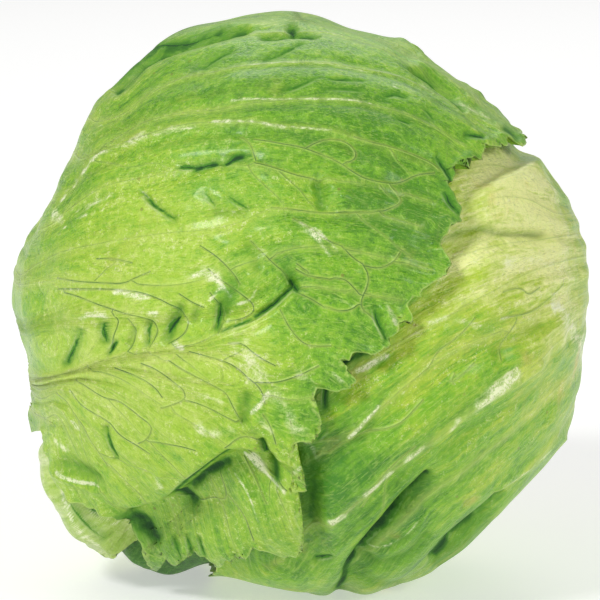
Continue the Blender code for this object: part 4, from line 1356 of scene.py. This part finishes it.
rightLeaf = {
    "name": "right", "node": "wrapper_leaf_right", "slot": "wrapper_leaf_pale",
    "middle": (350, 124),
    "midrib": [(352, 12), (349, 40), (351, 70), (354, 92)],
    "runs": -1,
    "cells": 272, "every": 4,
    "crimp": 0.00025, "ribLift": 0.0010, "swell": 0.0007, "lumps": 0.00040, "puff": 0.00035,
    "teeth": 0.0012,
    "light": 0.40, "paleBase": 0.40,
    "sideLength": 0.026, "sideEvery": (2.5, 4.5), "fillTries": 4600, "fillGap": 0.0032,
    "edgePx": [(420, 118), (352, 196), (330, 290), (296, 372), (262, 450), (240, 520)],
    "edgeBehind": [(252, 96), (247, 74), (258, 52), (272, 30), (280, 14), (50, 14), (54, 30),
                   (58, 54), (55, 76), (56, 96), (56, 112)],
    "ribs": [
        [(560, 190), (530, 168), (500, 158), (470, 166), (440, 176)],
        [(572, 214), (556, 216), (545, 208), (515, 196), (484, 199), (460, 214), (430, 232)],
        [(578, 236), (540, 240), (504, 243), (470, 252), (430, 272), (390, 300)],
        [(582, 256), (555, 262), (520, 275), (472, 300), (434, 323), (396, 348), (353, 376),
         (320, 402)],
        [(585, 284), (560, 303), (510, 325), (443, 352), (395, 392), (348, 434), (306, 470)],
        [(585, 308), (572, 322), (549, 342), (500, 375), (448, 419), (410, 449), (369, 480),
         (330, 515), (304, 540), (280, 566)],
        [(584, 345), (562, 378), (520, 420), (470, 462), (420, 500), (385, 540), (350, 578)],
        [(580, 385), (556, 430), (500, 490), (460, 525), (430, 556), (400, 582)],
        [(566, 430), (540, 480), (500, 530), (455, 570)],
    ],
    "veins": [
        [(473, 318), (461, 332), (449, 342), (437, 350), (430, 362)],
        [(537, 288), (526, 296), (519, 287), (502, 292)],
        [(560, 285), (545, 300), (532, 312), (500, 318)],
        [(452, 372), (446, 382), (455, 375), (470, 362)],
        [(520, 310), (508, 330), (498, 345), (496, 358)],
        [(330, 456), (360, 430), (392, 424), (420, 398)],
        [(360, 500), (376, 470), (410, 440)],
    ],
    "strokes": [
        ([(346, 572), (362, 552), (382, 530), (400, 509), (419, 490), (428, 476)], 4.4, -0.0014,
         1.00),
        ([(346, 578), (360, 561), (374, 544), (387, 529), (399, 513), (413, 498), (426, 483)],
         4.0, -0.0006, 1.00),
        ([(340, 590), (350, 576)], 5.0, -0.0003, 0.90),
        ([(436, 556), (450, 540), (468, 526), (486, 511)], 3.6, -0.0004, 0.80),
        ([(312, 458), (315, 490), (312, 524)], 8.0, -0.0003, 0.60),
        ([(392, 516), (410, 497), (424, 480)], 6.5, -0.0008, 0.55),
        ([(334, 548), (356, 526), (380, 500), (404, 476)], 5.0, 0.0010, 0.0),
        ([(372, 542), (396, 522), (414, 510)], 8.0, 0.0009, 0.0),
        ([(356, 558), (380, 555), (402, 544), (415, 530), (424, 514)], 2.6, 0.0006, 0.0),
        ([(352, 565), (384, 563), (408, 552), (426, 532)], 4.0, -0.0010, 0.35),
        ([(432, 556), (444, 541), (464, 527), (482, 511), (500, 493)], 4.0, -0.0012, 0.75),
        ([(436, 560), (460, 538), (486, 516)], 7.0, -0.0005, 0.40),
        ([(497, 486), (523, 469), (537, 459), (559, 436)], 4.2, 0.0012, 0.0),
        ([(452, 236), (470, 228), (484, 225), (504, 231), (545, 233)], 3.6, -0.0014, 0.28),
        ([(440, 262), (470, 262), (520, 252), (560, 250)], 7.0, 0.0008, 0.0),
        ([(392, 355), (350, 384)], 5.0, 0.0006, 0.0),
        ([(348, 440), (377, 402)], 4.0, 0.0010, 0.0),
        ([(338, 432), (368, 396)], 3.5, -0.0006, 0.10),
        ([(316, 560), (332, 554)], 2.4, -0.0008, 0.60),
        ([(497, 352), (535, 326)], 7.0, -0.0009, 0.12),
        ([(304, 528), (330, 508), (369, 472)], 5.0, 0.0008, 0.0),
        ([(300, 500), (330, 470), (360, 440)], 9.0, -0.0008, 0.22),
        ([(430, 440), (470, 402), (530, 364)], 5.0, 0.0010, 0.0),
        ([(440, 452), (480, 420), (540, 380)], 6.0, -0.0007, 0.12),
        ([(396, 478), (430, 446)], 4.0, -0.0006, 0.15),
        ([(336, 586), (360, 576), (400, 584)], 5.0, -0.0006, 0.25),
        ([(370, 354), (352, 360), (344, 366)], 5.0, -0.0010, 0.95),
        ([(330, 380), (327, 396), (326, 412)], 4.5, -0.0006, 0.70),
        ([(303, 450), (308, 480), (306, 520)], 5.0, -0.0004, 0.50),
        ([(318, 446), (326, 436)], 4.0, -0.0004, 0.40),
    ],
    "paintedLightAndTone": [
        (520, 185, 75, 0.70), (568, 330, 30, 0.16), (475, 355, 50, -0.16), (566, 356, 32, -0.10),
        (560, 260, 60, 0.35), (470, 250, 50, 0.30), (545, 330, 50, 0.16),
        (500, 290, 60, 0.20), (440, 330, 50, 0.10), (350, 490, 90, -0.22), (420, 540, 80, -0.12),
        (310, 480, 50, -0.22), (500, 460, 60, -0.06), (400, 400, 60, 0.02), (560, 400, 50, 0.02),
    ],
    "paintedHighlights": [
        ([(360, 374), (374, 366), (390, 358)], 3.4, 0.85),
        ([(396, 348), (434, 323), (472, 300), (520, 275)], 2.6, 0.30),
        ([(349, 437), (360, 424), (377, 404)], 2.4, 0.95),
        ([(470, 402), (484, 388), (506, 370)], 8.0, 0.85),
        ([(447, 424), (452, 414)], 4.0, 0.60),
        ([(403, 455), (418, 443)], 5.5, 0.80),
        ([(330, 512), (341, 509)], 3.6, 0.85),
        ([(362, 484), (372, 480)], 3.0, 0.80),
        ([(383, 470), (389, 467)], 2.6, 0.80),
        ([(362, 488), (388, 467)], 4.0, 0.65),
        ([(330, 514), (352, 498)], 4.0, 0.55),
        ([(356, 557), (379, 552), (396, 542), (411, 529), (420, 514)], 1.5, 0.65),
        ([(498, 488), (523, 470), (556, 438)], 2.6, 0.75),
        ([(552, 305), (570, 330), (578, 362)], 13.0, 0.66),
        ([(470, 330), (520, 312), (550, 306)], 4.0, 0.30),
        ([(500, 262), (540, 262), (570, 268)], 9.0, 0.35),
        ([(304, 448), (313, 453), (318, 464)], 4.0, 0.70),
        ([(432, 322), (452, 318), (478, 326)], 4.0, 0.40),
    ],
    "look": paleLook,
}

lowerLeaf = {
    "name": "lower", "node": "wrapper_leaf_lower_left", "slot": "inner_leaf_pale",
    "middle": (216, 86),
    "midrib": [(222, 12), (226, 40), (228, 70), (228, 92)],
    "runs": 0,
    "cells": 176, "every": 2,
    "crimp": 0.00030, "ribLift": 0.0010, "swell": 0.0006, "lumps": 0.00040, "puff": 0.00040,
    "teeth": 0.0014,
    "light": 0.56, "paleBase": 0.40,
    "sideLength": 0.024, "sideEvery": (2.5, 4.5), "fillTries": 2200, "fillGap": 0.0032,
    "edgePx": [(60, 330), (130, 372), (196, 430), (196, 500), (140, 545), (99, 549)],
    "edgeBehind": [(233, 92), (246, 72), (258, 48), (268, 26), (272, 14), (152, 14), (160, 26),
                   (172, 44), (178, 68)],
    "fan": 34, "fanRibs": 9,
    "strokes": [
        ([(82, 511), (93, 519)], 2.6, -0.0009, 0.80),
        ([(46, 440), (54, 470), (66, 492)], 2.6, -0.0006, 0.40),
        ([(60, 498), (80, 522), (104, 540)], 2.4, -0.0005, 0.38),
    ],
    "paintedHighlights": [
        ([(44, 430), (53, 462), (64, 484), (86, 502), (119, 524)], 2.6, 1.35),
        ([(40, 424), (49, 462), (57, 492), (74, 522), (102, 544)], 1.8, 1.15),
        ([(48, 452), (58, 484), (78, 510), (110, 534)], 1.6, 1.15),
        ([(60, 500), (78, 528), (98, 543)], 1.8, 1.05),
        ([(38, 440), (46, 476), (58, 508)], 1.6, 0.90),
    ],
    "look": whiteLook,
}

bottomLeaf = {
    "name": "bottom", "node": "bottom_leaf", "slot": "shaded_leaf_dark",
    "middle": (258, 96),
    "midrib": [(252, 12), (250, 40), (250, 70), (250, 92)],
    "runs": 0,
    "cells": 168, "every": 4,
    "crimp": 0.00030, "ribLift": 0.0009, "swell": 0.0005, "lumps": 0.00040, "puff": 0.00040,
    "teeth": 0.0014,
    "light": 0.38, "paleBase": 0.55,
    "sideLength": 0.024, "sideEvery": (2.5, 4.5), "fillTries": 2200, "fillGap": 0.0034,
    "edgePx": [(90, 440), (190, 430), (300, 440), (392, 500)],
    "edgeBehind": [(300, 92), (316, 66), (318, 40), (312, 24), (310, 14), (190, 14), (192, 26),
                   (200, 46), (205, 70), (208, 90)],
    "fan": 44, "fanRibs": 9,
    "look": shadedLook,
}

topLeaf = {
    "name": "top", "node": "top_leaf", "slot": "inner_leaf_green",
    "middle": (98, 92),
    "midrib": [(96, 12), (86, 40), (76, 70), (72, 92)],
    "runs": 0,
    "cells": 192, "every": 4,
    "crimp": 0.00030, "ribLift": 0.0011, "swell": 0.0006, "lumps": 0.00040, "puff": 0.00040,
    "teeth": 0.0014,
    "light": 0.45, "paleBase": 0.40,
    "sideLength": 0.026, "sideEvery": (2.5, 4.5), "fillTries": 2800, "fillGap": 0.0032,
    "edgePx": [(500, 190), (420, 160), (300, 150), (190, 165), (100, 200)],
    "edgeBehind": [(150, 84), (154, 62), (156, 40), (158, 26), (158, 14), (38, 14), (30, 26),
                   (20, 42), (14, 62), (14, 84)],
    "fan": 52, "fanRibs": 11,
    "look": {**greenLook, "ribTone": 0.7},
}

heart = {
    "node": "heart", "slot": "heart_pale",
    "rows": 72, "steps": 128,
    "foldHeight": 0.0014,
    "gap": 0.0008,             # to the leaf over it
    "socketGap": 0.0006,       # to the stem's inner end
    "socketRoom": (0.4, 2.4),  # degrees past the stem's side, at the socket and at its rim
}

stem = {
    "node": "core_stem", "slot": "stem_cream",
    "halfAngle": 11.6,
    "clearance": 1.1,
    "innerEnd": 0.040,
    "cutFace": 0.0780,
    "cutRadius": 0.0148,
    "steps": 144,
}


def makeHeart(leaves):
    # the folded inner leaves: a ball under the leaves, with a socket for the stem
    socket, rim = (radians(stem["halfAngle"] + room) for room in heart["socketRoom"])
    socketEnd = stem["innerEnd"] - heart["socketGap"]
    rows = np.concatenate([[socket], np.linspace(rim, pi - 0.02, heart["rows"])])
    turns = np.arange(heart["steps"]) / heart["steps"] * 2 * pi
    away, turn = (a.ravel() for a in np.meshgrid(rows, turns, indexing="ij"))
    ring = np.stack([np.cos(turn), 0 * turn, np.sin(turn)], axis=1)
    direction = np.sin(away)[:, None] * ring + np.cos(away)[:, None] * stemWay
    under = sum(leaf.cover(direction) for leaf in leaves)
    fold = heart["foldHeight"] * ((3 * turn + 4.2 * away) / (2 * pi) % 1.0)
    room = head["step"] * under + heart["gap"] + heart["foldHeight"]
    bare = np.zeros(len(direction))
    radius = pressFlat(direction, headRadius(direction) + folds(direction, bare)) - room + fold
    radius += 0.0003 * ripples(direction * head["radius"], 0.008, 8)
    inSocket = away < rim - 1e-6
    radius = np.where(inSocket, socketEnd / np.cos(away), radius)
    points = np.concatenate([direction * radius[:, None],
                             [stemWay * socketEnd, -stemWay * radius[-1]]])
    thing = meshOf("heart_ball", points, *turnedFaces(len(rows), heart["steps"], False))
    thing.data.materials.append(heartFinish())
    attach(thing, "root")
    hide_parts(heart["node"])
    print("heart made")


def heartFinish():
    paint = Paint("heart_finish")
    place = paint.place
    cloud = paint.noise(place, 60.0, 3.0, 0.55)
    grain = paint.noise(place, 900.0, 2.0, 0.6)
    net = paint.node("ShaderNodeTexVoronoi", {"feature": "DISTANCE_TO_EDGE"},
                     {"Vector": place, "Scale": 170.0})
    veins = paint.band(net, 0.02, 0.10, 1.0, 0.0)
    colour = paint.ramp(cloud, [(0.30, (0.45, 0.62, 0.16)), (0.55, (0.66, 0.76, 0.34)),
                                (0.80, (0.80, 0.83, 0.52))])
    colour = paint.mix(veins * 0.45, colour, (0.84, 0.87, 0.62))
    paint.set(colour=colour, roughness=(0.34 + grain * 0.16).clamped(),
              normal=paint.bump(veins * 0.10 + grain * 0.08), depth=0.12,
              depthScale=0.003, depthRadius=(0.6, 1.0, 0.25), ior=1.45)
    return paint.material


def makeStem():
    # turned about the stem's axis, with an uneven cut face and the scars of trimmed leaves
    slope = tan(radians(stem["halfAngle"]))
    start = stem["cutRadius"] / slope
    cut = stem["cutFace"]
    wide = stem["cutRadius"]
    profile = [(wide * part, cut) for part in np.linspace(0.0, 0.86, 22)]
    profile += [(wide * 0.93, cut - 0.0004), (wide * 0.975, cut - 0.0012), (wide, cut - 0.0026)]
    profile += [(wide, height) for height in np.linspace(cut - 0.0034, start, 10)]
    cone = np.linspace(start, stem["innerEnd"], 12)[1:]
    profile += [(height * slope, height) for height in cone]
    out = np.array([p[0] for p in profile])
    along = np.array([p[1] for p in profile])
    turns = np.arange(stem["steps"]) / stem["steps"] * 2 * pi
    outGrid, turnGrid = np.meshgrid(out[1:], turns, indexing="ij")
    alongGrid = np.repeat(along[1:, None], len(turns), axis=1)
    ring = np.stack([np.cos(turnGrid), 0 * turnGrid, np.sin(turnGrid)], axis=-1)
    onFace = smoothStep(cut - 0.003, cut, alongGrid)
    stump = smoothStep(start - 0.004, start + 0.001, alongGrid) * (1 - onFace)
    scars = np.cos(5 * turnGrid + 1.2 * np.sin(2 * turnGrid)) ** 8
    outGrid = outGrid - 0.0006 * stump * (1 - scars) + 0.0001 * np.sin(23 * turnGrid) * stump
    points = outGrid[..., None] * ring + alongGrid[..., None] * stemWay
    flat = points.reshape(-1, 3)
    rough = ripples(flat, 0.006, 21) * 0.00025 + ripples(flat, 0.0022, 22) * 0.0001
    hollow = 0.0010 * np.exp(-(outGrid.ravel() / (0.45 * wide)) ** 2)
    flat = flat + stemWay * ((rough - 0.0003 - hollow) * onFace.ravel())[:, None]
    points = np.concatenate([flat, [stemWay * (cut - 0.0013)], [stemWay * stem["innerEnd"]]])
    thing = meshOf("cut_stem", points, *turnedFaces(len(profile) - 1, stem["steps"], True))
    thing.data.materials.append(stemFinish())
    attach(thing, "root")
    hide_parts(stem["node"])
    print("stem made")


def stemFinish():
    paint = Paint("stem_finish")
    place = paint.place
    x, y, z = paint.split(place)
    out = ((x * x + z * z) ** 0.5) * 1000
    cloud = paint.noise(place, 170.0, 4.0, 0.6)
    grain = paint.noise(place, 1400.0, 2.0, 0.6)
    uneven = out + (cloud - 0.5) * 3.0
    onFace = paint.band(y * 1000, stem["cutFace"] * 1000 - 3.2, stem["cutFace"] * 1000 - 1.4)
    pith = paint.band(uneven, 2.0, 6.0, 1.0, 0.0)
    ringMark = paint.band(abs(uneven - 9.6), 0.4, 1.6, 1.0, 0.0)
    rim = paint.band(uneven, 11.5, 14.6)
    side = paint.ramp(cloud, [(0.35, (0.60, 0.62, 0.30)), (0.55, (0.78, 0.76, 0.50)),
                              (0.75, (0.62, 0.46, 0.24))])
    face = paint.layered((0.60, 0.40, 0.20), [
        (pith * 0.7, (0.72, 0.56, 0.32)),
        ((cloud - 0.42) * 3.0, (0.36, 0.17, 0.07)),
        (ringMark * 0.75, (0.30, 0.13, 0.05)),
        (rim * 0.6, (0.26, 0.13, 0.05)),
    ])
    pores = paint.band(paint.dots(place, 620.0), 0.12, 0.26, 1.0, 0.0) * onFace * ringMark
    colour = paint.layered(paint.mix(onFace, side, face), [(pores * 0.6, (0.16, 0.07, 0.03))])
    paint.set(colour=colour, roughness=(0.52 + grain * 0.25).clamped(),
              normal=paint.bump(cloud * 0.35 + grain * 0.20 - pores * 0.25), depth=0.08,
              depthScale=0.002, depthRadius=(1.0, 0.7, 0.4), ior=1.4)
    return paint.material


leafPlans = [leftLeaf, rightLeaf, lowerLeaf, bottomLeaf, topLeaf]
leaves = [Leaf(plan) for plan in leafPlans]
print("leaf maps made")
for rank, leaf in enumerate(leaves):
    makeLeaf(leaf, leaves[:rank], 40 + rank)
makeHeart(leaves)
makeStem()

studio = {
    "floorSize": 6.0,
    "floorColour": (0.66, 0.66, 0.65),
    "floorGlow": 0.44,
    "world": 0.34,
    "sensor": 36.0,
    "key": {"at": (-0.90, -0.90, 1.30), "size": 0.36, "power": 18},
    "fill": {"at": (1.10, -0.80, 0.90), "size": 0.40, "power": 7},
    "back": {"at": (0.10, 1.20, 1.10), "size": 1.00, "power": 6},
}


def makeStudio():
    size = studio["floorSize"]
    mesh = bpy.data.meshes.new("floor")
    mesh.from_pydata([(-size, -size, 0), (size, -size, 0), (size, size, 0), (-size, size, 0)], [],
                     [(0, 1, 2, 3)])
    floorPlane = bpy.data.objects.new("floor", mesh)
    bpy.context.scene.collection.objects.link(floorPlane)
    paint = Paint("floor_finish")
    place = paint.place
    cloud = paint.noise(place, 3.0)
    pale = studio["floorColour"]
    paint.set(colour=paint.mix(cloud, pale, tuple(c * 0.985 for c in pale)), roughness=0.8,
              glowColour=(1.0, 1.0, 1.0, 1.0), glow=studio["floorGlow"])
    mesh.materials.append(paint.material)

    world = bpy.data.worlds.new("studio_world")
    world.use_nodes = True
    background = world.node_tree.nodes["Background"]
    background.inputs["Color"].default_value = (1.0, 1.0, 1.0, 1.0)
    background.inputs["Strength"].default_value = studio["world"]
    bpy.context.scene.world = world
    bpy.context.scene.view_settings.view_transform = "Standard"

    middle = Vector(head["middle"])
    for name in ("key", "fill", "back"):
        lamp = studio[name]
        data = bpy.data.lights.new(name, "AREA")
        data.size = lamp["size"]
        data.energy = lamp["power"]
        thing = bpy.data.objects.new(name, data)
        thing.location = lamp["at"]
        thing.rotation_euler = (middle - thing.location).to_track_quat("-Z", "Y").to_euler()
        bpy.context.scene.collection.objects.link(thing)

    data = bpy.data.cameras.new("camera")
    data.sensor_width = studio["sensor"]
    data.lens = studio["sensor"] * view["distance"] / (2 * view["middlePx"] * view["pixel"])
    camera = bpy.data.objects.new("camera", data)
    camera.location = middle + Vector(nearWay) * view["distance"]
    camera.rotation_euler = (middle - camera.location).to_track_quat("-Z", "Y").to_euler()
    bpy.context.scene.collection.objects.link(camera)
    bpy.context.scene.camera = camera
    print("studio made")


makeStudio()
bpy.context.view_layer.update()
